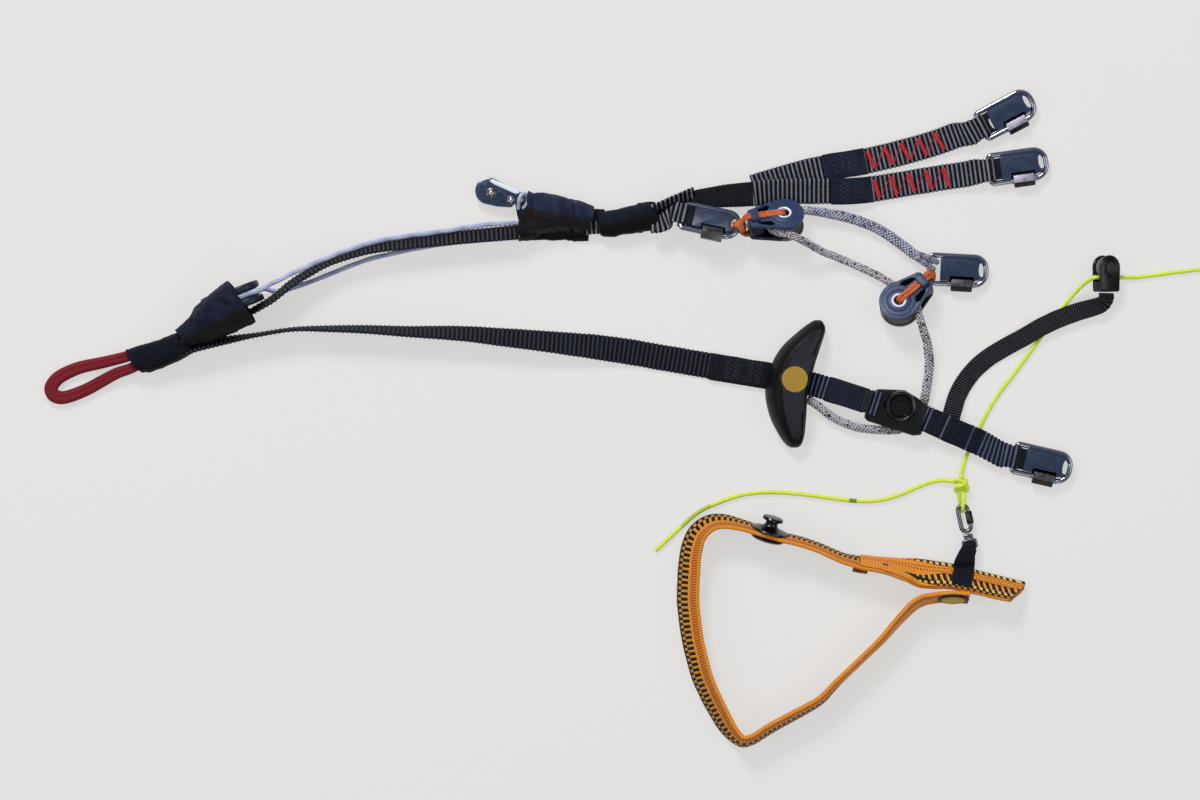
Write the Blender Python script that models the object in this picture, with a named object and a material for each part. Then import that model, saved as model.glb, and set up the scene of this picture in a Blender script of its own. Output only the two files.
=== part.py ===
"""One side's riser set of a paraglider, lying flat as it is unpacked.

Lengths are in millimetres and are turned to metres where a mesh is made.
X runs from the hang loop to the line maillons, Y across the set, Z up.
The origin is under the middle of the set, on the surface that it lies on.
"""
import math

import bmesh
import bpy
from mathutils import Matrix, Vector

MM = 0.001
GAP = 0.3
UP = Vector((0, 0, 1))

# Webbing and cords
WEB_WIDTH = 14.0
WEB_SINGLE = 1.4
WEB_DOUBLE = 2.6
BRAKE_WEB_WIDTH = 10.0
BRAKE_WEB_THICK = 1.2
TOGGLE_WIDTH = 18.0
TOGGLE_THICK = 2.5
TAB_THICK = 1.1
BRAKE_LINE_DIAMETER = 2.2
SPEED_LINE_DIAMETER = 2.5
CONTROL_DIAMETER = 4.3
SPLICE_DIAMETER = 5.4
LASHING_WIDTH = 3.6
LASHING_THICK = 1.4
EYE_WIDTH = 5.0
EYE_THICK = 1.6

# Maillons: rounded rectangles of wire, narrow bar at the webbing end
WIRE = 2.9
MAILLON_HALF_LENGTH = 15.3
MAILLON_HALF_WIDTH = 7.6
MAILLON_WEB_CORNER = 1.9
MAILLON_LINE_CORNER = 6.5
MAILLON_EYE_WIDTH = 11.0
MAILLON_HEIGHT = 3.7
NUT_LENGTH = 12.0
NUT_FLATS = 7.0
NUT_PLACE = 2.4
INSERT_THICK = 3.8
INSERT_WEB_EDGE = -8.6

# Pulleys of the control line: two-cheek blocks on soft lashings
PULLEY_RADIUS = 10.8
PULLEY_THICK = 11.0
CHEEK_THICK = 1.9
PULLEY_REACH = 19.5
HEAD_HALF_WIDTH = 6.0
HEAD_START = 11.8
AXLE_RADIUS = 3.5
AXLE_BORE = 2.8
SHEAVE_RADIUS = 10.2
GROOVE_RADIUS = 6.6
GROOVE_WIDTH = 4.9
ROPE_RADIUS_ON_SHEAVE = 9.05
PIN_RADIUS = 1.5
PIN_BORE = 1.8

# Colours of the real materials
BLACK_WEB = (0.010, 0.010, 0.014)
NAVY_CLOTH = (0.012, 0.018, 0.035)
RED_CORD = (0.250, 0.006, 0.015)
WHITE_CORD = (0.620, 0.640, 0.800)
GREY_CORD = (0.470, 0.450, 0.510)
ORANGE_CORD = (0.720, 0.140, 0.025)
YELLOW_CORD = (0.680, 0.840, 0.070)
ORANGE_WEB = (0.720, 0.260, 0.012)
BLUE_PLASTIC = (0.030, 0.050, 0.090)
GREY_PLASTIC = (0.060, 0.060, 0.066)
BLACK_PLASTIC = (0.008, 0.009, 0.012)
YELLOW_BADGE = (0.640, 0.370, 0.030)
STEEL = (0.600, 0.610, 0.640)


def clear_scene():
    for old in list(bpy.data.objects):
        bpy.data.objects.remove(old, do_unlink=True)


def finish_of(name, colour, rough, metal=0.0):
    material = bpy.data.materials.get(name)
    if material is None:
        material = bpy.data.materials.new(name)
        material.use_nodes = True
        shader = material.node_tree.nodes["Principled BSDF"]
        shader.inputs["Base Color"].default_value = (*colour, 1.0)
        shader.inputs["Roughness"].default_value = rough
        shader.inputs["Metallic"].default_value = metal
    return material


def black_webbing():
    return finish_of("black polyester webbing", BLACK_WEB, 0.85)


def navy_cloth():
    return finish_of("navy nylon cloth", NAVY_CLOTH, 0.8)


def steel():
    return finish_of("polished stainless steel", STEEL, 0.2, 1.0)


def blue_plastic():
    return finish_of("moulded blue-grey nylon", BLUE_PLASTIC, 0.5)


def orange_cord():
    return finish_of("orange braided cord", ORANGE_CORD, 0.7)


def make_object(name, mesh, material, matrix=None):
    obj = bpy.data.objects.new(name, mesh)
    bpy.context.scene.collection.objects.link(obj)
    mesh.materials.append(material)
    if matrix is not None:
        obj.matrix_world = matrix
    return obj


def mesh_from(name, work):
    """Turn a bmesh in millimetres into a mesh in metres with its faces out."""
    bmesh.ops.recalc_face_normals(work, faces=work.faces)
    bmesh.ops.scale(work, vec=(MM, MM, MM), verts=work.verts)
    mesh = bpy.data.meshes.new(name)
    work.to_mesh(mesh)
    work.free()
    mesh.shade_smooth()
    mesh.set_sharp_from_angle(angle=math.radians(35))
    return mesh


def skin(name, rings, material, closed=False, matrix=None):
    """Join rings of points by faces; ends are capped unless the skin is closed."""
    work = bmesh.new()
    rows = [[work.verts.new(point) for point in ring] for ring in rings]
    count = len(rows[0])
    pairs = list(zip(rows, rows[1:]))
    if closed:
        pairs.append((rows[-1], rows[0]))
    for low, high in pairs:
        for i in range(count):
            j = (i + 1) % count
            work.faces.new((low[i], low[j], high[j], high[i]))
    if not closed:
        work.faces.new(rows[0])
        work.faces.new(list(reversed(rows[-1])))
    return make_object(name, mesh_from(name, work), material, matrix)


def turned(name, profile, material, matrix, steps=28):
    """Turn a closed (radius, height) profile round local Z."""
    rings = []
    for k in range(steps):
        angle = math.tau * k / steps
        rings.append([Vector((r * math.cos(angle), r * math.sin(angle), z)) for r, z in profile])
    return skin(name, rings, material, closed=True, matrix=matrix)


def plate(name, outline, low, high, material, matrix=None):
    """Raise a flat outline between two heights."""
    rings = [[Vector((x, y, z)) for x, y in outline] for z in (low, high)]
    return skin(name, rings, material, matrix=matrix)


def arc(centre, radius, start, end, steps):
    """Points on an arc, angles in degrees."""
    points = []
    for k in range(steps + 1):
        angle = math.radians(start + (end - start) * k / steps)
        points.append((centre[0] + radius * math.cos(angle), centre[1] + radius * math.sin(angle)))
    return points


def circle(radius, count, centre=(0.0, 0.0)):
    """Corner points of a many-sided disc."""
    return [(centre[0] + radius * math.cos(math.tau * k / count),
             centre[1] + radius * math.sin(math.tau * k / count)) for k in range(count)]


def smooth_route(points, spacing):
    """Even points on a Catmull-Rom curve through the route; any number of values a point."""
    rows = [tuple(p) for p in points]
    ends = [rows[0]] + rows + [rows[-1]]
    fine = []
    for k in range(len(rows) - 1):
        p0, p1, p2, p3 = ends[k:k + 4]
        span = math.dist(p1[:2], p2[:2])
        steps = max(4, int(span / spacing * 4))
        for s in range(steps):
            t = s / steps
            fine.append(tuple(0.5 * (2 * b + (c - a) * t + (2 * a - 5 * b + 4 * c - d) * t ** 2
                                     + (3 * b - a - 3 * c + d) * t ** 3)
                              for a, b, c, d in zip(p0, p1, p2, p3)))
    fine.append(rows[-1])
    lengths = [0.0]
    for a, b in zip(fine, fine[1:]):
        lengths.append(lengths[-1] + math.dist(a[:3], b[:3]))
    count = max(2, round(lengths[-1] / spacing))
    result, at = [], 0
    for k in range(count + 1):
        goal = lengths[-1] * k / count
        while at < len(fine) - 2 and lengths[at + 1] < goal:
            at += 1
        step = lengths[at + 1] - lengths[at]
        share = (goal - lengths[at]) / step if step > 0 else 0.0
        result.append(tuple(a + (b - a) * share for a, b in zip(fine[at], fine[at + 1])))
    return result


def web_height(roll, lift, width, thick):
    """Centre height of webbing whose lower edge is held at a height called lift."""
    turn = math.radians(roll)
    return lift + width / 2 * abs(math.sin(turn)) + thick / 2 * abs(math.cos(turn))


def web_stations(route, width, thick, spacing=6.0):
    """Centre, side vector, width and thickness along a route of x, y, roll, lift."""
    rows = []
    for x, y, roll, lift in route:
        rows.append((x, y, web_height(roll, lift, width, thick), roll))
    rows = smooth_route(rows, spacing)
    stations = []
    for k, (x, y, z, roll) in enumerate(rows):
        before = Vector(rows[max(k - 1, 0)][:3])
        after = Vector(rows[min(k + 1, len(rows) - 1)][:3])
        along = (after - before).normalized()
        left = UP.cross(along).normalized()
        upward = along.cross(left)
        turn = math.radians(roll)
        side = math.cos(turn) * left + math.sin(turn) * upward
        stations.append((Vector((x, y, z)), side, width, thick))
    return stations


def web_rings(stations):
    rings = []
    for k, (centre, side, width, thick) in enumerate(stations):
        before = stations[max(k - 1, 0)][0]
        after = stations[min(k + 1, len(stations) - 1)][0]
        along = (after - before).normalized()
        face = along.cross(side).normalized()
        across = side.normalized() * width / 2
        out = face * thick / 2
        rings.append([centre - across - out, centre + across - out,
                      centre + across + out, centre - across + out])
    return rings


def webbing(name, route, width, thick, material, spacing=6.0):
    return skin(name, web_rings(web_stations(route, width, thick, spacing)), material)


def eye_stations(matrix):
    """Stations that carry webbing over, round and back under a maillon's end bar."""
    reach = WIRE / 2 + GAP + WEB_SINGLE / 2
    bar = -MAILLON_HALF_LENGTH
    side = (matrix.to_3x3() @ Vector((0, 1, 0))).normalized()
    places = [(-7.4, 0.35, WEB_DOUBLE, 12.8), (-4.8, 0.85, WEB_DOUBLE * 0.8, 11.8)]
    for angle in (140, 110, 80, 50, 20, -10, -40, -70, -100, -125):
        turn = math.radians(angle)
        places.append((reach * math.cos(turn), reach * math.sin(turn), WEB_SINGLE, MAILLON_EYE_WIDTH))
    stations = []
    for x, z, thick, width in places:
        centre = matrix @ Vector((bar + x, 0, z))
        stations.append((centre, side, width, thick))
    return stations


def webbing_to_maillon(name, route, matrix, material):
    stations = web_stations(route, WEB_WIDTH, WEB_DOUBLE)
    return skin(name, web_rings(stations + eye_stations(matrix)), material)


def cord(name, points, diameter, material, cyclic=False, sides=2, fatness=None, matrix=None):
    """A round cord or wire: a poly curve with a bevel and filled ends."""
    curve = bpy.data.curves.new(name, "CURVE")
    curve.dimensions = "3D"
    curve.bevel_depth = diameter / 2 * MM
    curve.bevel_resolution = sides
    curve.use_fill_caps = not cyclic
    spline = curve.splines.new("POLY")
    spline.points.add(len(points) - 1)
    for k, point in enumerate(points):
        spline.points[k].co = (point[0] * MM, point[1] * MM, point[2] * MM, 1.0)
        spline.points[k].radius = fatness[k] if fatness else 1.0
    spline.use_cyclic_u = cyclic
    obj = bpy.data.objects.new(name, curve)
    curve.materials.append(material)
    bpy.context.scene.collection.objects.link(obj)
    if matrix is not None:
        obj.matrix_world = matrix
    return obj


def placed(x, y, z, heading, pitch=0.0, roll=0.0):
    """Matrix of a piece whose local X points along its heading, in metres."""
    turn = (Matrix.Rotation(math.radians(heading), 4, "Z")
            @ Matrix.Rotation(math.radians(-pitch), 4, "Y")
            @ Matrix.Rotation(math.radians(roll), 4, "X"))
    return Matrix.Translation(Vector((x, y, z)) * MM) @ turn


def in_mm(matrix):
    """The same placing for points in millimetres."""
    copy = matrix.copy()
    copy.translation = matrix.translation / MM
    return copy


def cut(obj, cutter, operation="DIFFERENCE"):
    modifier = obj.modifiers.new(cutter.name, "BOOLEAN")
    modifier.operation = operation
    modifier.solver = "EXACT"
    modifier.object = cutter
    cutter.hide_render = True
    cutter.display_type = "WIRE"


def box(name, low, high, material, matrix=None):
    outline = [(low[0], low[1]), (high[0], low[1]), (high[0], high[1]), (low[0], high[1])]
    return plate(name, outline, low[2], high[2], material, matrix)


# Where the five maillons lie
MAILLONS = {
    "a": placed(229.5, 163.9, MAILLON_HEIGHT, 28.0),
    "a2": placed(235.6, 135.6, MAILLON_HEIGHT, 8.0),
    "b": placed(69.7, 105.8, 11.0, -12.0, pitch=3.0, roll=-28.0),
    "bc": placed(203.2, 79.4, MAILLON_HEIGHT, -3.0),
    "c": placed(248.6, -24.8, MAILLON_HEIGHT, -13.0),
}


def wire_outline():
    """Centre line of the maillon's wire, a closed loop."""
    length, width = MAILLON_HALF_LENGTH, MAILLON_HALF_WIDTH
    web, line = MAILLON_WEB_CORNER, MAILLON_LINE_CORNER
    points = arc((length - line, width - line), line, 0, 90, 6)
    points += arc((-length + web, width - web), web, 90, 180, 3)
    points += arc((-length + web, -width + web), web, 180, 270, 3)
    points += arc((length - line, -width + line), line, 270, 360, 6)
    return [(x, y, 0.0) for x, y in points]


def insert_outline():
    """Plastic keeper inside the wire, notched for the nut and for the lines."""
    inner = WIRE / 2 + GAP
    right = MAILLON_HALF_LENGTH - inner
    top = MAILLON_HALF_WIDTH - inner
    corner = MAILLON_LINE_CORNER - inner
    notch = NUT_LENGTH / 2 + 0.6
    notch_top = -MAILLON_HALF_WIDTH + NUT_FLATS / 2 / math.cos(math.radians(30)) + 0.5
    points = [(INSERT_WEB_EDGE, top), (INSERT_WEB_EDGE, -top)]
    points += [(NUT_PLACE - notch, -top), (NUT_PLACE - notch, notch_top)]
    points += [(NUT_PLACE + notch, notch_top), (NUT_PLACE + notch, -top + 0.4)]
    points += arc((right - corner, -top + corner), corner, -50, -22, 3)
    points += [(right - 2.6, -2.2), (right - 3.2, 0.9), (right - 2.6, 4.0)]
    points += arc((right - corner, top - corner), corner, 42, 90, 4)
    return points


def make_maillon(key, matrix):
    """Wire with its screw nut as one body, and the plastic keeper inside it."""
    path = [Vector(point) for point in wire_outline()]
    rings = []
    for k, centre in enumerate(path):
        along = (path[(k + 1) % len(path)] - path[k - 1]).normalized()
        out = along.cross(UP)
        rings.append([centre + (out * math.cos(math.radians(36 * i))
                                + UP * math.sin(math.radians(36 * i))) * WIRE / 2 for i in range(10)])
    link = skin(f"{key}_maillon_link", rings, steel(), closed=True, matrix=matrix)
    corner = NUT_FLATS / 2 / math.cos(math.radians(30))
    start, end = NUT_PLACE - NUT_LENGTH / 2, NUT_PLACE + NUT_LENGTH / 2
    rings = []
    for x, radius, hexed in ((start, NUT_FLATS / 2, False), (start + 0.9, corner, True),
                             (end - 0.9, corner, True), (end, NUT_FLATS / 2, False)):
        ring = []
        for k in range(12):
            angle = math.radians(30 * k)
            r = radius if not hexed or k % 2 == 1 else radius * math.cos(math.radians(30))
            ring.append(Vector((x, -MAILLON_HALF_WIDTH + r * math.sin(angle), r * math.cos(angle))))
        rings.append(ring)
    cut(link, skin(f"{key}_nut_guide", rings, steel(), matrix=matrix), "UNION")
    plate(f"{key}_maillon_insert", insert_outline(), -INSERT_THICK / 2, INSERT_THICK / 2,
          blue_plastic(), matrix)


def tilted_frame(centre, tilt, tilt_heading, head_heading):
    """Axes of a pulley: local X to its head, local Z its axle, leaning toward a heading."""
    lean = math.radians(tilt)
    toward = math.radians(tilt_heading)
    heading = math.radians(head_heading)
    axle = Vector((math.cos(toward) * math.sin(lean), math.sin(toward) * math.sin(lean), math.cos(lean)))
    drop = math.tan(lean) * math.cos(heading - toward)
    head = Vector((math.cos(heading), math.sin(heading), -drop)).normalized()
    frame = Matrix((head, axle.cross(head), axle)).transposed().to_4x4()
    frame.translation = Vector(centre) * MM
    return frame


PULLEY_ONE = tilted_frame((109.2, 106.2, 11.3), 42.0, 90.0, 188.0)
PULLEY_TWO = tilted_frame((171.5, 60.8, 10.6), 23.0, 105.0, 39.0)


def pulley_outline():
    """Round cheek with straight sides to its head."""
    lean = 72
    points = arc((0, 0), PULLEY_RADIUS, lean, 360 - lean, 20)
    points += [(PULLEY_REACH - 1.2, -HEAD_HALF_WIDTH), (PULLEY_REACH, -HEAD_HALF_WIDTH + 1.4)]
    points += [(PULLEY_REACH, HEAD_HALF_WIDTH - 1.4), (PULLEY_REACH - 1.2, HEAD_HALF_WIDTH)]
    return points


def make_pulley(key, matrix):
    half = PULLEY_THICK / 2
    slot = half - CHEEK_THICK
    frame = plate(f"{key}_frame", pulley_outline(), -half, half, blue_plastic(), matrix)
    arch = plate(f"{key}_bridge_guide",
                 [(14.2, -3.8), (18.6, -3.8), (18.6, 3.8), (14.2, 3.8)],
                 half - 1.0, half + 3.4, blue_plastic(), matrix)
    cut(frame, arch, "UNION")
    cut(frame, box(f"{key}_bridge_cutter", (12.0, -2.5, half), (22.0, 2.5, half + 2.4),
                   blue_plastic(), matrix))
    cut(frame, box(f"{key}_slot_cutter", (-20.0, -20.0, -slot), (HEAD_START, 20.0, slot),
                   blue_plastic(), matrix))
    cut(frame, plate(f"{key}_axle_guide", circle(AXLE_RADIUS, 20), -half + 0.7, half - 0.7,
                     steel(), matrix), "UNION")
    cut(frame, plate(f"{key}_bore_cutter", circle(AXLE_BORE, 20), -half - 4, half + 5,
                     blue_plastic(), matrix))
    for side in (-1, 1):
        window = box(f"{key}_window_cutter_{side + 2}", (5.6, min(side * 4.6, side * 6.9), -half - 4),
                     (11.0, max(side * 4.6, side * 6.9), half + 1.5), blue_plastic(), matrix)
        cut(frame, window)
    wide = slot - GAP
    groove = GROOVE_WIDTH / 2
    turned(f"{key}_sheave",
           [(AXLE_RADIUS + GAP, -wide), (SHEAVE_RADIUS, -wide), (SHEAVE_RADIUS, -groove - 0.2),
            (GROOVE_RADIUS + 0.9, -groove), (GROOVE_RADIUS, -groove + 0.9), (GROOVE_RADIUS, groove - 0.9),
            (GROOVE_RADIUS + 0.9, groove), (SHEAVE_RADIUS, groove + 0.2), (SHEAVE_RADIUS, wide),
            (AXLE_RADIUS + GAP, wide)],
           finish_of("moulded grey acetal", GREY_PLASTIC, 0.5), matrix)


def make_lashing(key, matrix, maillon, along_bar, end, lean_kept):
    """Closed loop of cord: through the hollow axle, over both cheeks, round a maillon bar."""
    frame = in_mm(matrix)
    over = PULLEY_THICK / 2 + GAP + LASHING_THICK / 2 + 0.1
    side = (frame.to_3x3() @ Vector((0, 1, 0))).normalized()
    bar = maillon @ Vector((end * MAILLON_HALF_LENGTH, along_bar, 0))
    bar_side = (maillon.to_3x3() @ Vector((0, 1, 0))).normalized()
    if bar_side.dot(side) < 0:
        bar_side = -bar_side
    toward = (maillon.to_3x3() @ Vector((-end, 0, 0))).normalized()
    lift = (maillon.to_3x3() @ Vector((0, 0, 1))).normalized()
    level = (Vector((side.x, side.y, side.z * lean_kept)).normalized() + bar_side).normalized()
    top = [(0.0, 0.0), (0.0, 4.2), (0.25, 5.5), (1.0, 6.4), (2.4, over), (6.0, over), (12.0, over),
           (18.6, over)]
    upper = [(frame @ Vector((x, 0, z)), side) for x, z in top]
    upper.append((frame @ Vector((21.2, 0, over - 0.3)), level))
    lower = [(frame @ Vector((21.0, 0, 0.3 - over)), level)]
    lower += [(frame @ Vector((x, 0, -z)), side) for x, z in reversed(top[1:])]
    reach = WIRE / 2 + GAP + LASHING_THICK / 2
    turn_round = []
    for angle in (110, 75, 40, 5, -30, -65, -100):
        turn = math.radians(angle)
        turn_round.append((bar + reach * (math.cos(turn) * toward + math.sin(turn) * lift), bar_side))
    stations = upper + turn_round + lower
    count = len(stations)
    rings = []
    for k, (centre, across) in enumerate(stations):
        along = (stations[(k + 1) % count][0] - stations[k - 1][0]).normalized()
        out = along.cross(across).normalized() * LASHING_THICK / 2
        half = across * LASHING_WIDTH / 2
        rings.append([centre - half - out, centre + half - out, centre + half + out, centre - half + out])
    skin(f"{key}_lashing", rings, orange_cord(), closed=True)


def wrap(matrix, radius, start, end, steps, offset=0.0):
    """Points of a rope on a sheave, local angles in degrees."""
    frame = in_mm(matrix)
    points = []
    for k in range(steps + 1):
        angle = math.radians(start + (end - start) * k / steps)
        points.append(frame @ Vector((radius * math.cos(angle), radius * math.sin(angle), offset)))
    return [tuple(p) for p in points]


def make_control_line():
    """Grey rope: flat eye on the BC maillon, round both pulleys, down to the handle."""
    grey = finish_of("grey braided rope", GREY_CORD, 0.8)
    maillon = in_mm(MAILLONS["bc"])
    side = (maillon.to_3x3() @ Vector((0, 1, 0))).normalized()
    reach = WIRE / 2 + GAP + EYE_THICK / 2
    places = [(-4.6, 1.9), (-2.4, 2.3)]
    for angle in (90, 55, 20, -15, -50, -90):
        turn = math.radians(angle)
        places.append((reach * math.cos(turn), reach * math.sin(turn)))
    places += [(-2.4, -2.2), (-4.6, -1.4)]
    stations = [(maillon @ Vector((-MAILLON_HALF_LENGTH + x, 3.1, z)), side, EYE_WIDTH, EYE_THICK)
                for x, z in places]
    skin("control_line_eye", web_rings(stations), grey)

    first = [(181.4, 85.8, 3.8), (174.4, 92.1, 3.3), (160.9, 101.4, 3.3), (145.5, 107.4, 4.0),
             (130.0, 110.6, 5.0), (120.5, 111.8, 5.3)]
    one = wrap(PULLEY_ONE, ROPE_RADIUS_ON_SHEAVE, -114, 58, 14)
    low = [(113.1, 97.8, 18.8), (118.4, 95.4, 17.4), (124.0, 92.6, 12.8), (130.0, 89.4, 8.2),
           (138.0, 86.4, 5.0), (147.0, 82.6, 3.4), (156.0, 78.6, 3.0), (163.0, 75.0, 3.8),
           (168.5, 71.5, 5.9)]
    two = wrap(PULLEY_TWO, ROPE_RADIUS_ON_SHEAVE, 23, -30, 5)
    down = [(181.7, 55.3, 14.0), (183.8, 48.6, 12.8), (186.4, 40.4, 8.6), (187.9, 31.0, 4.4),
            (187.4, 22.4, 2.5), (185.0, 8.4, 2.3), (181.6, 1.2, 2.3), (176.2, -4.4, 2.3),
            (169.7, -6.8, 2.3), (156.3, -6.4, 2.3), (146.0, -4.4, 2.3), (135.6, 0.4, 2.6),
            (128.8, 5.8, 3.4), (123.8, 9.0, 5.0)]
    splice = smooth_route(first, 6.0)
    points = splice + one + smooth_route(low, 6.0) + two + smooth_route(down, 6.5)
    fatness = [1.0] * len(points)
    for k in range(len(splice) - 2):
        rise = min(1.0, (k + 1) / 3, (len(splice) - 2 - k) / 3)
        fatness[k] = 1.0 + (SPLICE_DIAMETER / CONTROL_DIAMETER - 1.0) * rise
    cord("control_line", points, CONTROL_DIAMETER, grey, sides=3, fatness=fatness)


def round_ring(centre, side, width, height, power=3.0, count=16):
    """A standing ring: wide along the side vector, high along Z, with rounded corners."""
    ring = []
    for k in range(count):
        angle = math.tau * (k + 0.5) / count
        c, s = math.cos(angle), math.sin(angle)
        a = math.copysign(abs(c) ** (2 / power), c) * width / 2
        b = math.copysign(abs(s) ** (2 / power), s) * height / 2
        ring.append(centre + side * a + UP * b)
    return ring


def sleeve_rings(sections, wall=0.0, power=3.0, lowest=0.0):
    """Rings from pairs of plan points (left, right) and a height."""
    rings = []
    for left, right, height in sections:
        left, right = Vector((*left, 0)), Vector((*right, 0))
        side = (left - right).normalized()
        centre = (left + right) / 2
        centre.z = lowest + height / 2
        rings.append(round_ring(centre, side, (left - right).length - 2 * wall, height - 2 * wall, power))
    return rings


def make_hang_end():
    """Red hang loop, the cover over its splice, and the two straps that leave the cover."""
    red = finish_of("red braided cord", RED_CORD, 0.75)
    loop = [(-244.9, 32.6, 4.6, 6.0), (-247.4, 32.2, 4.2, 6.0), (-258.7, 29.5, 2.6, 6.4),
            (-269.0, 27.3, 2.2, 6.8), (-276.5, 24.5, 2.2, 7.2), (-282.4, 21.0, 2.2, 7.4),
            (-285.8, 16.2, 2.2, 7.4), (-284.6, 12.3, 2.2, 7.4), (-280.7, 10.7, 2.2, 7.2),
            (-275.2, 11.7, 2.2, 7.0), (-266.9, 15.0, 2.2, 6.8), (-258.7, 19.4, 2.6, 6.6),
            (-250.4, 23.8, 3.8, 6.2), (-243.9, 26.0, 4.4, 5.8), (-241.3, 26.9, 4.6, 5.8)]
    stations = []
    rows = smooth_route(loop, 3.0)
    for k, (x, y, z, width) in enumerate(rows):
        before, after = Vector(rows[max(k - 1, 0)][:3]), Vector(rows[min(k + 1, len(rows) - 1)][:3])
        side = UP.cross((after - before).normalized()).normalized()
        stations.append((Vector((x, y, z)), side, width, 4.2))
    mouth = Vector((0.565, -0.825, 0))
    stations[0] = (stations[0][0], mouth, 6.6, 4.2)
    stations[-1] = (stations[-1][0], -mouth, 6.2, 4.2)
    skin("hang_loop", web_rings(stations), red)

    cover = [((-246.1, 35.2), (-238.3, 23.8), 9.6), ((-240.0, 38.0), (-231.5, 24.6), 11.6),
             ((-230.5, 41.0), (-223.0, 27.8), 13.4), ((-220.8, 44.4), (-210.4, 34.1), 16.4)]
    skin("hang_loop_cover", sleeve_rings(cover), finish_of("black neoprene", NAVY_CLOTH, 0.9))

    main = [(-214.7, 40.6, -90, 1.4), (-208.6, 43.4, -90, 1.9), (-201.4, 46.6, -90, 2.3),
            (-192.2, 50.4, -90, 2.5), (-183.4, 53.8, -89, 2.7), (-176.7, 56.8, -86, 2.9),
            (-165.3, 63.9, -78, 3.4), (-157.1, 71.1, -74, 3.4), (-145.8, 78.4, -72, 2.2),
            (-134.5, 84.5, -71, 0.9), (-113.9, 90.7, -70, 0.1), (-93.0, 93.9, -64, 0.1),
            (-66.4, 96.9, -60, 0.1), (-34.4, 99.9, -58, 0.1)]
    webbing("main_strap", main, WEB_WIDTH, 1.6, black_webbing())

    c_route = [(-210.4, 35.4, -90, 1.0), (-206.8, 37.0, -90, 0.8), (-192.2, 40.6, -90, 0.2),
               (-175.7, 44.2, -88, 0.1), (-155.0, 47.5, -84, 0.1), (-134.5, 47.8, -79, 0.1),
               (-113.9, 47.4, -74, 0.1), (-93.0, 46.3, -68, 0.1), (-65.3, 45.3, -57, 0.1),
               (-38.3, 42.9, -46, 0.1), (-11.3, 40.2, -33, 0.1), (15.7, 37.0, -10, 0.1),
               (37.3, 33.5, -2, 0.1), (71.4, 27.5, 0, 0.1)]
    webbing("c_strap", c_route, WEB_WIDTH, 1.6, black_webbing())


SPEED_PULLEY = (-182.0, 65.0, 13.0)
SPEED_HEADING = 22.0


def make_speed_pouch():
    """Cloth pouch, open at its mouth, round the lower pulley of the speed system."""
    pouch = [((-218.8, 46.0), (-212.3, 36.9), 17.4), ((-213.6, 50.8), (-204.6, 39.4), 19.0),
             ((-207.9, 58.8), (-194.4, 43.2), 22.5), ((-200.6, 65.2), (-183.9, 47.3), 25.0),
             ((-190.3, 73.7), (-174.6, 51.2), 26.5)]
    outside = sleeve_rings(pouch, power=4.0)
    inside = sleeve_rings(pouch, wall=0.8, power=4.0)
    skin("speed_pouch", outside + list(reversed(inside)), navy_cloth(), closed=True)

    x, y, z = SPEED_PULLEY
    heading = math.radians(SPEED_HEADING)
    along = Vector((math.cos(heading), math.sin(heading), 0))
    axle = Vector((-math.sin(heading), math.cos(heading), 0))
    frame = Matrix((-along, axle.cross(-along), axle)).transposed().to_4x4()
    frame.translation = Vector((x, y, z)) * MM
    half = 5.6
    slot = 2.1
    body = plate("speed_pulley_frame", arc((0, 0), 10.8, 60, 300, 18)
                 + [(13.0, -5.0), (13.0, 5.0)], -half, half, blue_plastic(), frame)
    cut(body, box("speed_slot_cutter", (-20, -20, -slot), (10.6, 20, slot), blue_plastic(), frame))
    cut(body, plate("speed_pin_guide", circle(PIN_RADIUS, 12), -half + 0.8, half - 0.8, steel(), frame),
        "UNION")
    turned("speed_pulley_sheave",
           [(PIN_BORE, -1.8), (9.4, -1.8), (9.4, -1.6), (7.0, -0.9), (7.0, 0.9), (9.4, 1.6), (9.4, 1.8),
            (PIN_BORE, 1.8)], finish_of("moulded grey acetal", GREY_PLASTIC, 0.5), frame, 24)
    tab = [(-217.3, 42.6, -90, 2.6), (-211.5, 48.0, -90, 4.4), (-204.0, 54.2, -90, 6.4),
           (-195.4, 59.5, -90, 8.0)]
    webbing("speed_pulley_tab", tab, 10.0, 1.4, black_webbing())

    local = in_mm(frame)
    sheave_rope = 7.0 + GAP + SPEED_LINE_DIAMETER / 2
    arc_points = []
    for k in range(11):
        angle = math.radians(-90 + 180 * k / 10)
        arc_points.append(tuple(local @ Vector((sheave_rope * math.cos(angle),
                                                sheave_rope * math.sin(angle), 0))))
    if arc_points[0][2] < arc_points[-1][2]:
        arc_points.reverse()
    high = [(-34.4, 104.9, 4.0), (-47.0, 104.4, 3.4), (-59.9, 102.8, 3.4), (-77.5, 100.0, 4.1),
            (-93.0, 98.0, 4.4), (-108.5, 95.4, 4.8), (-116.0, 93.2, 6.2), (-124.0, 90.7, 7.8),
            (-134.4, 86.8, 10.2), (-145.8, 82.0, 12.0), (-158.0, 76.0, 15.0), (-170.8, 69.5, 20.6)]
    low = [(-171.5, 69.2, 4.2), (-166.5, 68.4, 2.4), (-161.2, 68.2, 1.5), (-155.0, 70.1, 1.35),
           (-144.7, 73.7, 1.35), (-134.5, 77.8, 1.35), (-124.0, 82.0, 1.35), (-113.7, 85.6, 1.35),
           (-103.4, 88.1, 1.35), (-86.9, 91.6, 1.35), (-66.0, 94.6, 1.35), (-34.4, 97.0, 1.35)]
    points = smooth_route(high, 8.0)[:-1] + [high[-1]] + arc_points + smooth_route(low, 8.0)
    cord("speed_line", points, SPEED_LINE_DIAMETER, finish_of("white braided line", WHITE_CORD, 0.7))


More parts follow.
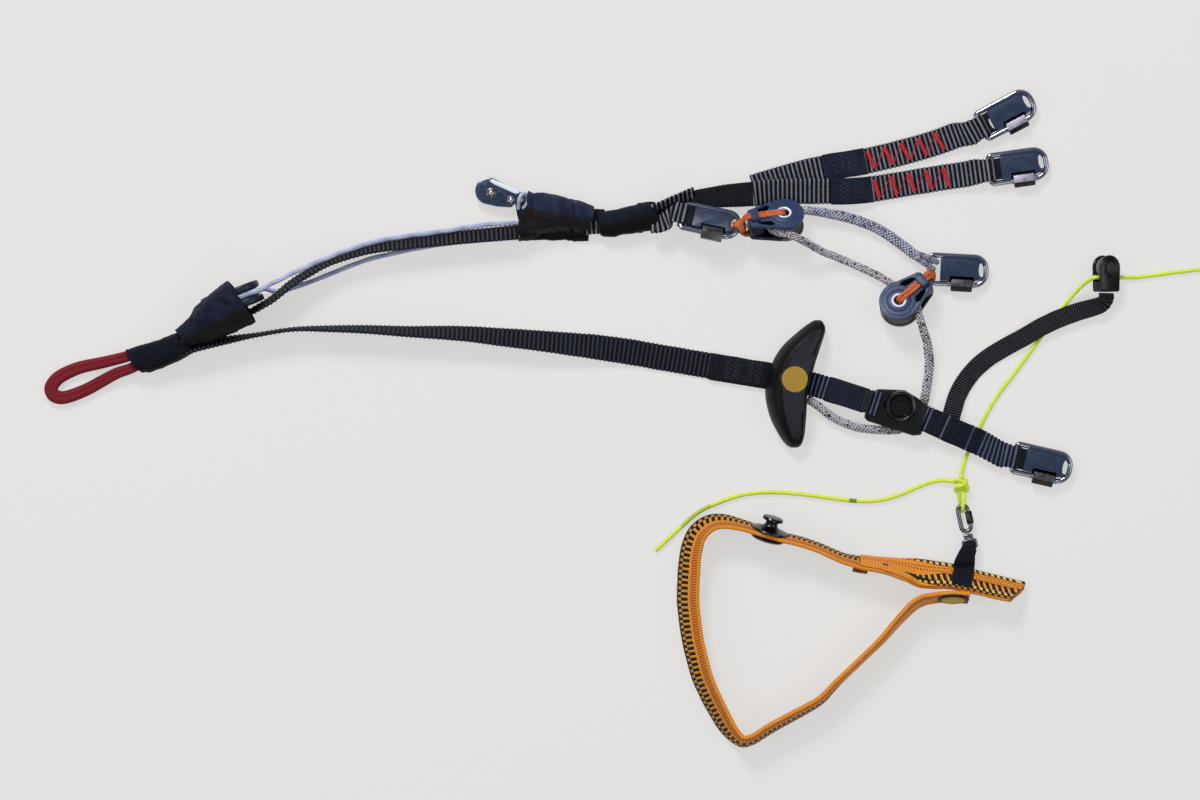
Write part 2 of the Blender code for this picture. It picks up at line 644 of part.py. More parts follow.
def make_upper_sleeve():
    """Cloth sleeve over the upper speed pulley, with the speed hook at its corner."""
    sleeve = [((-28.6, 121.6), (-33.5, 95.6), 14.5), ((-20.4, 121.0), (-21.4, 95.4), 14.5),
              ((-11.7, 119.7), (-12.5, 95.2), 13.5), ((-1.1, 116.7), (-4.0, 95.2), 12.0),
              ((6.1, 113.9), (3.9, 95.1), 11.0)]
    skin("upper_sleeve", sleeve_rings(sleeve), navy_cloth())
    webbing("sleeve_strap", [(6.0, 104.9, 0, 3.0), (8.8, 104.9, 0, 3.0)], 8.0, WEB_DOUBLE,
            black_webbing(), 2.8)
    band = [((9.1, 110.8), (9.6, 100.5), 9.0), ((12.4, 112.0), (12.9, 97.0), 10.5),
            ((26.0, 114.6), (27.0, 99.5), 11.0), ((40.2, 115.2), (41.0, 101.2), 11.0)]
    skin("riser_band", sleeve_rings(band), navy_cloth())

    hook = placed(-42.4, 120.0, 3.7, -14.3)
    outline = arc((-7.7, 0.3), 7.2, 70, 276, 18)
    outline += [(-1.1, -6.7), (6.4, -5.3), (7.6, -2.9)]
    outline += arc((9.7, 0.0), 2.8, -76, 70, 8)
    outline += [(8.0, 4.2)]
    body = plate("speed_hook", outline, -2.2, 2.2, steel(), hook)
    cut(body, plate("hook_eye_cutter", circle(1.4, 12, (9.9, -0.2)), -5.0, 5.0, steel(), hook))
    webbing("speed_hook_strap", [(-33.3, 114.2, 0, 2.6), (-33.2, 112.0, 0, 2.6), (-33.6, 109.8, 0, 2.6)],
            4.0, 1.8, black_webbing(), 2.0)


def make_riser_joint():
    """Sewn junction where the A, A2 and B straps part."""
    joint = [((60.2, 122.6), (61.2, 113.0), 4.2), ((72.0, 124.8), (73.6, 113.2), 5.0),
             ((83.0, 126.4), (84.4, 113.6), 5.6), ((90.6, 127.0), (91.8, 114.0), 5.6)]
    skin("riser_joint", sleeve_rings(joint, power=6.0), black_webbing())
    webbing("upper_stub", [(41.6, 113.2, 76, 0.2), (50.8, 116.2, 60, 0.2), (59.7, 118.7, 44, 0.2)],
            13.0, 1.6, black_webbing(), 4.0)
    webbing("middle_stub", [(41.9, 108.2, -86, 0.2), (50.8, 110.0, -86, 0.2), (59.8, 111.9, -86, 0.2)],
            4.0, 1.4, black_webbing(), 4.0)
    a_route = [(92.8, 124.0, 0, 0.1), (112.9, 130.2, 0, 0.1), (131.2, 134.6, 0, 0.1),
               (153.9, 138.4, 0, 0.1), (172.3, 142.8, 0, 0.1), (193.9, 149.0, 0, 0.6),
               (208.2, 153.6, 0, 2.2)]
    webbing_to_maillon("a_strap", a_route, in_mm(MAILLONS["a"]), black_webbing())
    a2_route = [(92.8, 120.4, 10, 3.0), (100.0, 121.3, 18, 1.6), (112.9, 121.9, 14, 1.0),
                (124.0, 122.1, 11, 1.0), (134.5, 122.1, 9, 1.2), (147.0, 122.3, 8, 1.2),
                (158.0, 123.4, 2, 0.4), (180.9, 127.2, 0, 0.1), (200.0, 130.0, 0, 0.6),
                (213.2, 131.9, 0, 2.2)]
    webbing_to_maillon("a2_strap", a2_route, in_mm(MAILLONS["a2"]), black_webbing())
    stations = web_stations([(42.6, 104.6, -36, 4.9), (46.4, 106.4, -32, 5.4)], 11.0, 1.8, 4.0)
    stations += eye_stations(in_mm(MAILLONS["b"]))[1:]
    skin("b_stub", web_rings(stations), black_webbing())


def make_c_handle():
    """Curved grip over the C strap, with a channel for the strap under it."""
    sections = [((125.8, 52.4), (129.6, 52.4), (127.8, 52.3), 7.0),
                ((119.1, 48.0), (131.5, 47.5), (127.0, 46.8), 12.0),
                ((108.8, 38.7), (128.6, 38.2), (118.1, 38.6), 15.0),
                ((102.6, 28.4), (125.3, 27.3), (110.9, 27.6), 16.5),
                ((99.3, 14.9), (121.9, 13.4), (108.3, 14.4), 17.0),
                ((101.5, 1.5), (121.2, 1.5), (110.0, 0.6), 16.0),
                ((106.8, -9.5), (120.6, -8.7), (113.2, -9.2), 13.0),
                ((112.6, -15.9), (118.2, -15.6), (115.3, -15.8), 8.0)]
    rings = []
    for left, right, ridge, top in sections:
        left, right, ridge = Vector((*left, 0)), Vector((*right, 0)), Vector((*ridge, 0))
        bulge = left.lerp(ridge, 0.22)
        shoulder = left.lerp(ridge, 0.62)
        ring = [left.lerp(right, 0.06) + UP * 0.3, left + UP * top * 0.34, bulge + UP * top * 0.72,
                shoulder + UP * top * 0.94, ridge + UP * top,
                right.lerp(ridge, 0.12) + UP * (top - 2.2), right + UP * (top * 0.5),
                right.lerp(left, 0.06) + UP * 0.3]
        rings.append(ring)
    grip = skin("c_handle", rings, finish_of("glossy black nylon", BLACK_PLASTIC, 0.3))
    cut(grip, box("handle_channel_cutter", (-40, -7.9, -2), (40, 7.9, 3.6), black_webbing(),
                  placed(96.5, 23.1, 0, -9.6)))


SOCKET_CENTRE = (172.3, 6.1)


def make_c_straps():
    """C strap past the handle: sewn overlay, middle strap, press socket and end strap."""
    webbing("c_strap_overlay", [(71.8, 27.4, 0, 0), (96.5, 23.2, 0, 0), (120.8, 19.0, 0, 0)], 14.6, 3.0,
            black_webbing(), 8.0)
    webbing("c_middle_strap", [(121.3, 18.8, 0, 0.2), (127.0, 17.4, 0, 0.8), (133.4, 15.4, 0, 2.6),
                               (145.3, 11.6, 0, 6.2), (152.4, 9.4, 0, 7.2), (160.0, 7.0, 0, 7.3)],
            13.0, 2.0, black_webbing(), 4.0)
    base = [(152.6, 0.2), (154.2, -1.8), (178.9, -9.8), (183.4, -9.4), (186.6, 6.6), (181.5, 10.6),
            (174.6, 14.8), (160.4, 15.4), (155.6, 13.6)]
    body = plate("toggle_socket", base, 4.6, 7.0, finish_of("glossy black nylon", BLACK_PLASTIC, 0.3))
    deck = [(160.4, -3.6), (178.9, -9.2), (182.8, -8.8), (186.0, 6.4), (181.2, 10.2), (174.4, 14.2),
            (163.4, 14.6)]
    cut(body, plate("socket_deck_guide", deck, 5.4, 9.0, black_webbing()), "UNION")
    cut(body, plate("socket_ring_guide", circle(8.4, 20, SOCKET_CENTRE), 5.0, 11.0, black_webbing()),
        "UNION")
    cut(body, plate("socket_well_cutter", circle(5.2, 16, SOCKET_CENTRE), 6.6, 14.0, black_webbing()))

    wire = in_mm(MAILLONS["c"])
    c_end = [(187.0, -1.2, 0, 4.9), (193.0, -3.8, 0, 4.9), (199.3, -6.8, 0, 4.9),
             (207.0, -10.0, 0, 4.2), (215.5, -13.5, 0, 3.4), (226.0, -17.9, 0, 2.5)]
    stations = web_stations(c_end, WEB_WIDTH, WEB_DOUBLE) + eye_stations(wire)
    skin("c_strap_end", web_rings(stations), black_webbing())


BRAKE_HUB = (283.0, 80.7, 7.2)
BRAKE_TILT = 33.0
BRAKE_ROPE_RADIUS = 5.3


def brake_frame():
    """Axes of the brake pulley: local X to its head at -Y, local Z its axle, leaning to +X."""
    lean = math.radians(BRAKE_TILT)
    axle = Vector((math.sin(lean), 0, math.cos(lean)))
    head = Vector((0, -1, 0))
    across = axle.cross(head)
    frame = Matrix((head, across, axle)).transposed().to_4x4()
    frame.translation = Vector(BRAKE_HUB) * MM
    return frame


def make_brake_pulley():
    frame = brake_frame()
    half, slot, radius = 4.0, 2.1, 6.75
    outline = arc((0, 0), radius, 90, 270, 14) + [(12.4, -radius + 0.4), (13.0, -radius + 1.4),
                                                  (13.0, radius - 1.4), (12.4, radius - 0.4)]
    body = plate("brake_pulley_frame", outline, -half, half,
                 finish_of("glossy black nylon", BLACK_PLASTIC, 0.3), frame)
    cut(body, box("brake_slot_cutter", (-12, -12, -slot), (7.2, 12, slot), black_webbing(), frame))
    cut(body, plate("brake_pin_guide", circle(PIN_RADIUS, 12), -half + 0.8, half - 0.8, steel(), frame),
        "UNION")
    turned("brake_pulley_sheave",
           [(PIN_BORE, -1.8), (5.7, -1.8), (5.7, -1.5), (3.9, -0.8), (3.9, 0.8), (5.7, 1.5), (5.7, 1.8),
            (PIN_BORE, 1.8)], finish_of("moulded grey acetal", GREY_PLASTIC, 0.5), frame, 20)
    strap = [(198.6, -4.2, 0, 2.9), (200.4, 3.0, 0, 2.6), (203.4, 12.2, 0, 0.6), (209.5, 22.4, 0, 0.2),
             (217.8, 30.7, 0, 0.2), (228.2, 37.4, 0, 0.6), (240.5, 44.2, 0, 2.6), (248.3, 48.8, 0, 3.0),
             (258.0, 53.4, 0, 3.0), (268.0, 57.0, 6, 3.0), (275.6, 59.2, 18, 3.2),
             (280.6, 61.0, 28, 3.8)]
    stations = web_stations(strap, BRAKE_WEB_WIDTH, BRAKE_WEB_THICK, 5.0)
    level = (frame.to_3x3() @ Vector((0, 1, 0))).normalized()
    if level.x > 0:
        level = -level
    x, y, z = BRAKE_HUB
    for end in (63.6, 67.2):
        stations.append((Vector((x, end, z)), level, BRAKE_WEB_WIDTH, BRAKE_WEB_THICK))
    skin("brake_strap", web_rings(stations), black_webbing())


def make_brake_line():
    """Yellow line: out of the pulley to its end loop, and from the pulley down to the knot."""
    yellow = finish_of("yellow braided line", YELLOW_CORD, 0.6)
    frame = in_mm(brake_frame())
    inside = [tuple(frame @ Vector((BRAKE_ROPE_RADIUS, t, 0))) for t in (-8.0, -5.0, -2.0, 2.0, 5.0, 8.0)]
    if inside[0][0] > inside[-1][0]:
        inside.reverse()
    down = [(273.4, 73.8, 9.4), (268.6, 69.6, 5.4), (261.8, 61.5, 1.6), (254.0, 51.4, 1.2),
            (247.6, 42.4, 1.2), (241.1, 33.5, 1.2), (232.8, 22.2, 1.2), (225.2, 12.4, 1.2),
            (219.2, 2.4, 1.2), (215.2, -5.9, 1.2), (209.0, -18.8, 1.2), (206.0, -27.1, 1.8),
            (205.2, -31.8, 2.6)]
    out = [(292.6, 75.6, 1.8), (297.0, 75.7, 1.2), (301.9, 75.9, 1.2), (318.1, 78.0, 1.2),
           (334.3, 80.0, 1.2), (340.0, 80.7, 1.2)]
    points = list(reversed(smooth_route(down, 6.0))) + inside + smooth_route(out, 6.0)
    cord("brake_line", points, BRAKE_LINE_DIAMETER, yellow)
    loop = [(341.6, 80.9), (346.0, 83.4), (351.5, 84.6), (355.5, 83.6), (357.0, 81.8), (355.6, 79.8),
            (351.6, 79.0), (346.4, 79.6)]
    cord("brake_line_end", [(x, y, 1.2) for x, y in loop], BRAKE_LINE_DIAMETER, yellow, cyclic=True)

    rings = []
    for x, y, width, height in ((205.1, -32.6, 3.8, 3.6), (205.1, -34.0, 6.6, 5.4),
                                (205.3, -37.0, 7.4, 5.8), (205.1, -39.8, 6.2, 5.2),
                                (204.9, -41.2, 4.6, 3.8)):
        rings.append(round_ring(Vector((x, y, 3.0)), Vector((-1, 0, 0)), width, height, 2.2, 12))
    skin("brake_knot", rings, yellow)
    tail = [(201.1, -34.8, 3.0), (197.5, -34.0, 2.2), (191.0, -34.4, 1.3), (183.1, -37.0, 1.2),
            (172.3, -41.6, 1.2), (161.5, -44.6, 1.2), (150.7, -45.2, 1.2), (134.5, -43.5, 1.2),
            (118.3, -41.3, 1.2), (102.1, -40.3, 1.2), (88.6, -41.5, 1.2), (77.8, -44.6, 1.2),
            (64.0, -50.8, 1.2), (52.2, -60.8, 1.2), (40.6, -71.6, 1.2)]
    cord("brake_tail", smooth_route(tail, 5.0), BRAKE_LINE_DIAMETER, yellow)


LINK = placed(206.8, -54.45, 3.8, -78.0)
LINK_HALF_LENGTH = 7.3
LINK_HALF_WIDTH = 2.9
LINK_WIRE = 1.9
SWIVEL_WIRE = 1.8
SWIVEL_CENTRE = 14.1
SWIVEL_HALF_LENGTH = 2.0
SWIVEL_HALF_WIDTH = 3.3


def make_link():
    """Small screw link between the knot and the toggle, with a swivel eye."""
    length, width = LINK_HALF_LENGTH, LINK_HALF_WIDTH
    outline = arc((length - width, 0), width, -90, 90, 8) + arc((-length + width, 0), width, 90, 270, 8)
    cord("link_wire", [(x, y, 0.0) for x, y in outline], LINK_WIRE, steel(), cyclic=True, matrix=LINK)
    rings = []
    for x, radius in ((-3.4, 1.3), (-3.4, 2.1), (3.4, 2.1), (3.4, 1.3)):
        rings.append([Vector((x, width + radius * math.sin(math.radians(30 * k)),
                              radius * math.cos(math.radians(30 * k)))) for k in range(12)])
    skin("link_nut", rings, steel(), closed=True, matrix=LINK)
    box("swivel_barrel", (length + 1.3, -2.5, -2.0), (length + 3.6, 2.5, 2.0), steel(), LINK)
    reach, half = SWIVEL_HALF_LENGTH, SWIVEL_HALF_WIDTH
    ring = arc((SWIVEL_CENTRE + reach - 1.3, half - 1.3), 1.3, 0, 90, 3)
    ring += arc((SWIVEL_CENTRE - reach + 1.3, half - 1.3), 1.3, 90, 180, 3)
    ring += arc((SWIVEL_CENTRE - reach + 1.3, -half + 1.3), 1.3, 180, 270, 3)
    ring += arc((SWIVEL_CENTRE + reach - 1.3, -half + 1.3), 1.3, 270, 360, 3)
    cord("swivel_eye", [(x, y, 0.0) for x, y in ring], SWIVEL_WIRE, steel(), cyclic=True, matrix=LINK)
    loop = [(206.4, -41.9, 3.6), (206.5, -45.0, 5.4), (206.0, -47.4, 6.2), (205.9, -50.0, 4.8),
            (205.6, -50.4, 3.0), (205.2, -47.4, 1.4), (204.2, -44.5, 1.6), (203.9, -42.0, 2.4)]
    cord("knot_loop", smooth_route(loop, 2.2), BRAKE_LINE_DIAMETER,
         finish_of("yellow braided line", YELLOW_CORD, 0.6))


TOGGLE_ROUTE = [
    (239.2, -94.4, 58, 0), (226.3, -91.6, 55, 0), (211.7, -88.3, 47, 0), (198.2, -85.1, 45, 0),
    (178.7, -81.5, 55, 0), (161.5, -78.8, 69, 0), (148.0, -77.4, 76, 0), (139.9, -75.4, 78, 0),
    (129.1, -70.6, 79, 0), (118.3, -66.9, 79, 0), (107.5, -64.3, 79, 0), (99.4, -62.1, 79, 0),
    (88.6, -58.5, 77, 0), (78.8, -56.2, 72, 0), (70.6, -56.6, 66, 0), (64.0, -61.0, 60, 0),
    (60.4, -68.0, 56, 0), (58.6, -78.4, 54, 0), (57.8, -98.6, 53, 0), (60.4, -120.2, 54, 0),
    (66.2, -141.8, 56, 0), (75.8, -161.4, 61, 0), (82.2, -170.6, 68, 0), (87.6, -174.4, 72, 0),
    (93.6, -172.6, 74, 0), (102.1, -167.2, 74, 0), (118.3, -158.4, 75, 0), (129.1, -152.0, 77, 0),
    (137.2, -143.6, 79, 0), (150.7, -130.6, 80, 0), (161.5, -120.2, 79, 0), (172.3, -108.0, 76, 0),
    (181.5, -100.6, 70, 0), (191.0, -98.2, 65, 0), (200.0, -97.6, 64, 0), (209.0, -98.2, 64, 0)]


def station_near(stations, x, y):
    best = min(range(len(stations)), key=lambda k: math.dist(stations[k][0][:2], (x, y)))
    before = stations[max(best - 1, 0)][0]
    after = stations[min(best + 1, len(stations) - 1)][0]
    centre, side = stations[best][0], stations[best][1]
    along = (after - before).normalized()
    return centre, along, side, along.cross(side).normalized()


def disc_on(name, stations, x, y, profile, material, steps=20):
    """A turned piece standing on the webbing's outer face at a place."""
    centre, along, side, face = station_near(stations, x, y)
    frame = Matrix((along, side, face)).transposed().to_4x4()
    frame.translation = (centre + side * 1.2) * MM
    rings = []
    for radius, height in profile:
        rings.append([Vector((radius * math.cos(math.tau * k / steps),
                              radius * math.sin(math.tau * k / steps), height)) for k in range(steps)])
    return skin(name, rings, material, matrix=frame)


def make_toggle():
    """Brake toggle: a loop of wide webbing standing on its edge, with its press stud."""
    stations = web_stations(TOGGLE_ROUTE, TOGGLE_WIDTH, TOGGLE_THICK, 5.0)
    skin("toggle_webbing", web_rings(stations), finish_of("orange patterned webbing", ORANGE_WEB, 0.8))
    front = TOGGLE_THICK / 2 + 0.5
    black = finish_of("glossy black nylon", BLACK_PLASTIC, 0.3)
    disc_on("toggle_stud", stations, 101.0, -62.7,
            [(9.6, front), (10.0, front + 0.5), (9.6, front + 1.1), (5.6, front + 1.9),
             (3.4, front + 2.8), (3.2, front + 5.2), (5.4, front + 6.0), (5.6, front + 7.4),
             (4.6, front + 8.2)], black)
    disc_on("toggle_stud_back", stations, 101.0, -62.7,
            [(9.0, -front), (9.0, -front - 0.8), (8.0, -front - 1.5)], black)
    disc_on("toggle_badge", stations, 200.4, -98.2,
            [(8.6, front + 0.4), (8.6, front + 1.0), (7.8, front + 1.3)],
            finish_of("yellow rubber badge", YELLOW_BADGE, 0.5))

    centre, along, side, face = station_near(stations, 206.5, -87.2)
    bar = in_mm(LINK) @ Vector((SWIVEL_CENTRE + SWIVEL_HALF_LENGTH, 0, 0))
    away = (in_mm(LINK).to_3x3() @ Vector((1, 0, 0))).normalized()
    cross = (in_mm(LINK).to_3x3() @ Vector((0, 1, 0))).normalized()
    reach = SWIVEL_WIRE / 2 + GAP + TAB_THICK / 2
    rows = []
    for angle in (-50, -90, -130, -170, -210, -245, -280, -310):
        turn = math.radians(angle)
        rows.append((bar + reach * (math.cos(turn) * away + math.sin(turn) * UP), cross, 3.8))
    rows.append((Vector((209.5, -73.2, 3.2)), cross, 7.4))
    rows.append((Vector((208.2, -76.4, 2.8)), cross, 9.4))
    rest = TOGGLE_THICK / 2 + 0.4 + TAB_THICK / 2
    for step, width in ((-8.2, 10.0), (-5.0, 11.0), (-2.0, 11.3), (1.0, 11.3), (4.0, 11.3), (7.4, 11.0)):
        rows.append((centre + side * step + face * rest, -along, width))
    stations = [(place, across, width, TAB_THICK) for place, across, width in rows]
    skin("toggle_tab", web_rings(stations), black_webbing())


def make_part():
    clear_scene()
    make_hang_end()
    make_speed_pouch()
    make_upper_sleeve()
    make_riser_joint()
    for key, matrix in MAILLONS.items():
        make_maillon(key, matrix)
    make_pulley("pulley1", PULLEY_ONE)
    make_pulley("pulley2", PULLEY_TWO)
    make_lashing("pulley1", PULLEY_ONE, in_mm(MAILLONS["b"]), 0.3, 1, 1.0)
    make_lashing("pulley2", PULLEY_TWO, in_mm(MAILLONS["bc"]), -3.1, -1, 0.0)
    make_control_line()
    make_c_handle()
    make_c_straps()
    make_brake_pulley()
    make_brake_line()
    make_link()
    make_toggle()


make_part()
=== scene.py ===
"""One side's riser set of a paraglider, lying flat on a pale table.

Lengths are in millimetres and become metres where a mesh is made.
X runs from the hang loop to the line maillons, Y across the set, Z up.
"""
from math import cos, dist, exp, pi, radians, sin, tan, tau

import bmesh
import bpy
from mathutils import Matrix, Vector, noise


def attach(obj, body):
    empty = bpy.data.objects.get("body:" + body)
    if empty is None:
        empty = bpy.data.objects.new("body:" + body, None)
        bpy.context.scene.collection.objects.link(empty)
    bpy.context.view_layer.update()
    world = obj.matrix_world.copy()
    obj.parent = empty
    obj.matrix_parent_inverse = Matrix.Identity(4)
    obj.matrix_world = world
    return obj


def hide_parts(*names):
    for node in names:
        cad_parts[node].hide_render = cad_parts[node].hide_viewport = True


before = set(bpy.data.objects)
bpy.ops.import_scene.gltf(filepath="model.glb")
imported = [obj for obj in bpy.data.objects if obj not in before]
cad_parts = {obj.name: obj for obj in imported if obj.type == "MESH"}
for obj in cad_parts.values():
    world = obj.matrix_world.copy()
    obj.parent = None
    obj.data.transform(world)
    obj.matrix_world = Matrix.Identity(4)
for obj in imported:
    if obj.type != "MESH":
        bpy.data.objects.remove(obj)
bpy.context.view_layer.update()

MM = 0.001
GAP = 0.3
UP = Vector((0, 0, 1))
UV = "surface"
SET = "riser_set"

WEB_WIDTH = 14.0
WEB_SINGLE = 1.4
WEB_DOUBLE = 2.6
RIB_SPACING = 2.45
RIB_HEIGHT = 0.42
STATION = 0.44
WIRE = 2.9
HALF_LENGTH = 15.3
HALF_WIDTH = 7.6
PULLEY_HALF = 5.5
CHEEK = 1.9
LINE = 2.2


# Nodes and finishes

def linear(code):
    """An sRGB hex colour as the linear values that a socket takes."""
    values = [int(code[i:i + 2], 16) / 255 for i in (1, 3, 5)]
    return (*(v / 12.92 if v <= 0.04045 else ((v + 0.055) / 1.055) ** 2.4 for v in values), 1.0)


def feed(tree, node, *feeds):
    """Feed a node's open sockets in order; a (name, source) pair goes to the socket of that name.

    A source is a value, an output, or a node, which gives its first open output.
    """
    sockets = iter([socket for socket in node.inputs if socket.enabled])
    for item in feeds:
        if isinstance(item, tuple) and isinstance(item[0], str):
            socket, source = node.inputs[item[0]], item[1]
        else:
            socket, source = next(sockets), item
        if isinstance(source, bpy.types.Node):
            source = next(output for output in source.outputs if output.enabled)
        if isinstance(source, bpy.types.NodeSocket):
            tree.links.new(source, socket)
        else:
            socket.default_value = source


def add(tree, kind, *feeds, **settings):
    """Add a node of a kind, a shader node unless it says otherwise, with its settings and feeds."""
    node = tree.nodes.new(kind if kind.startswith(("Geometry", "Function")) else "ShaderNode" + kind)
    for key, value in settings.items():
        setattr(node, key, value)
    feed(tree, node, *feeds)
    return node


def finish(name, colour, rough, **sockets):
    """A material with its shader's plain values; sockets are named with _ for a space."""
    material = bpy.data.materials.new(name)
    material.use_nodes = True
    tree = material.node_tree
    shader = tree.nodes["Principled BSDF"]
    shader.inputs["Base Color"].default_value = linear(colour)
    shader.inputs["Roughness"].default_value = rough
    for socket, value in sockets.items():
        shader.inputs[socket.replace("_", " ")].default_value = value
    return material, tree, shader


def surface_axes(tree):
    """Distance along and across a piece in metres, from its own UV map."""
    place = add(tree, "UVMap", uv_map=UV)
    parts = add(tree, "SeparateXYZ", place)
    return parts.outputs[0], parts.outputs[1]


def wear(tree, size, detail=3.0):
    """Soft uneven patches of a size in metres, on the piece's own place."""
    where = add(tree, "TexCoord")
    return add(tree, "TexNoise", ("Vector", where.outputs["Object"]), ("Scale", 1 / size),
        ("Detail", detail))


def ribbed_webbing(name, dark, light, spacing=RIB_SPACING):
    """Polyester webbing with a heavy weft: matt, and each rib's crest is painted a grey line as a painted
    highlight.
    """
    thread = 0.7
    material, tree, shader = finish(name, dark, 0.78, Sheen_Weight=0.02, Sheen_Roughness=0.5,
        Specular_IOR_Level=0.15)
    along, across = surface_axes(tree)
    wave = add(tree, "Math", along, spacing * MM / 2, operation="PINGPONG")
    rib = add(tree, "MapRange", wave, 0.46 * spacing * MM / 2, 0.86 * spacing * MM / 2,
        interpolation_type="SMOOTHSTEP")
    # Warp threads are 0.35 mm apart; drawn twice as coarse so that they show.
    warp = add(tree, "Math", across, thread * MM / 2, operation="PINGPONG")
    yarn = add(tree, "MapRange", warp, 0.0, thread * MM / 2, 0.55, 1.0)
    patch = add(tree, "MapRange", wear(tree, 0.004), 0.3, 0.7, 0.65, 1.0)
    shown = add(tree, "Attribute", attribute_name="ribbed")
    # Rib crests and warp threads are mixed toward the light colour: a painted highlight along each rib.
    lit = add(tree, "Math", rib, yarn, operation="MULTIPLY")
    lit = add(tree, "Math", lit, patch, operation="MULTIPLY")
    lit = add(tree, "Math", lit, shown.outputs["Fac"], operation="MULTIPLY")
    speck = add(tree, "MapRange", wear(tree, 0.0009, 1.0), 0.58, 0.8, 0.0, 0.12)
    lit = add(tree, "Math", lit, speck, operation="ADD", use_clamp=True)
    colour = add(tree, "Mix", lit, linear(dark), linear(light), data_type="RGBA")
    feed(tree, shader, ("Base Color", colour))
    bump = add(tree, "Bump", ("Height", yarn), ("Strength", 0.5), ("Distance", 0.00012))
    feed(tree, shader, ("Normal", bump))
    return material


def woven_cloth(name, colour, light, under=None, thread=0.8, rough=0.72):
    """Close plain weave, its raised threads painted the lighter colour in patches as a painted highlight.
    The under colour, where it is marked, is partly a darker lower panel and partly painted shade.
    """
    material, tree, shader = finish(name, colour, rough, Sheen_Weight=0.05, Sheen_Roughness=0.45,
        Specular_IOR_Level=0.18)
    along, across = surface_axes(tree)
    waves = []
    for axis in (along, across):
        turn = add(tree, "Math", axis, tau / (thread * MM), operation="MULTIPLY")
        waves.append(add(tree, "Math", turn, operation="SINE"))
    weave = add(tree, "Math", waves[0], waves[1], operation="MULTIPLY")
    height = add(tree, "MapRange", weave, -1.0, 1.0)
    patch = add(tree, "MapRange", wear(tree, 0.006), 0.35, 0.75)
    share = add(tree, "Math", height, patch, operation="MULTIPLY")
    # Weave crests are mixed toward the light colour: a painted highlight.
    tone = add(tree, "Mix", share, linear(colour), linear(light), data_type="RGBA")
    source = tone
    if under:
        # The under colour is partly a darker lower panel and partly painted shade on the side turned from
        # the light.
        lower = add(tree, "Attribute", attribute_name="under")
        tone = add(tree, "Mix", lower.outputs["Fac"], source, linear(under), data_type="RGBA")
        source = tone
    feed(tree, shader, ("Base Color", source))
    bump = add(tree, "Bump", ("Height", height), ("Strength", 0.35), ("Distance", 0.00015))
    feed(tree, shader, ("Normal", bump))
    return material


def braided_cord(name, colour, shade, diameter, picks):
    """Braided sheath of fine yarn: crossing picks round the cord, with painted shade between them."""
    material, tree, shader = finish(name, colour, 0.55, Sheen_Weight=0.05, Specular_IOR_Level=0.2)
    along, across = surface_axes(tree)
    wide = pi * diameter * MM / picks
    waves = []
    for side in (1, -1):
        slant = add(tree, "Math", across, side, 0.0, operation="MULTIPLY_ADD")
        lean = add(tree, "Math", along, slant, operation="ADD")
        turn = add(tree, "Math", lean, tau / wide, operation="MULTIPLY")
        waves.append(add(tree, "Math", turn, operation="SINE"))
    cross = add(tree, "Math", waves[0], waves[1], operation="MULTIPLY")
    height = add(tree, "MapRange", cross, -1.0, 1.0)
    # The shade colour fills the hollows between picks: painted shade.
    deep = add(tree, "MapRange", height, 0.1, 0.6, 0.75, 0.0)
    tone = add(tree, "Mix", deep, linear(colour), linear(shade), data_type="RGBA")
    source = tone
    mark = add(tree, "Attribute", attribute_name="under")
    stain = add(tree, "Mix", mark.outputs["Fac"], source, linear("#20331a"), data_type="RGBA")
    feed(tree, shader, ("Base Color", stain))
    bump = add(tree, "Bump", ("Height", height), ("Strength", 0.6), ("Distance", 0.00018))
    feed(tree, shader, ("Normal", bump))
    return material


def braid_yarn(name, colour, dark, tint, share):
    """Yarn of a coarse braid: bright filaments, with dark flecks where some yarns are worn, painted shade
    where a yarn passes under, and the core painted dark as shade in the gaps.
    """
    material, tree, shader = finish(name, colour, 0.5, Sheen_Weight=0.05, Specular_IOR_Level=0.3)
    yarn = add(tree, "Attribute", attribute_name="yarn")
    where = add(tree, "TexCoord")
    moved = add(tree, "VectorMath", where.outputs["Object"], yarn.outputs["Vector"], operation="ADD")
    patch = add(tree, "TexNoise", ("Vector", moved), ("Scale", 420.0), ("Detail", 2.0))
    worn = add(tree, "MapRange", patch, share, share + 0.09)
    pale = add(tree, "MapRange", wear(tree, 0.009), 0.35, 0.7)
    tone = add(tree, "Mix", pale, linear(colour), linear(tint), data_type="RGBA")
    tone = add(tree, "Mix", worn, tone, linear(dark), data_type="RGBA")
    # A yarn is darkened where it passes under another: painted shade.
    over = add(tree, "Attribute", attribute_name="over")
    dip = add(tree, "MapRange", over.outputs["Fac"], 0.0, 0.8, 0.92, 0.0)
    tone = add(tree, "Mix", dip, tone, linear(dark), data_type="RGBA")
    # The core, seen in the gaps between yarns, is painted the dark colour: painted shade.
    core = add(tree, "MapRange", yarn.outputs["Fac"], 0.2, 0.5, 1.0, 0.0)
    tone = add(tree, "Mix", core, tone, linear(dark), data_type="RGBA")
    feed(tree, shader, ("Base Color", tone))
    fine = add(tree, "TexNoise", ("Vector", where.outputs["Object"]), ("Scale", 5000.0))
    bump = add(tree, "Bump", ("Height", fine), ("Strength", 0.3), ("Distance", 0.0001))
    feed(tree, shader, ("Normal", bump))
    return material


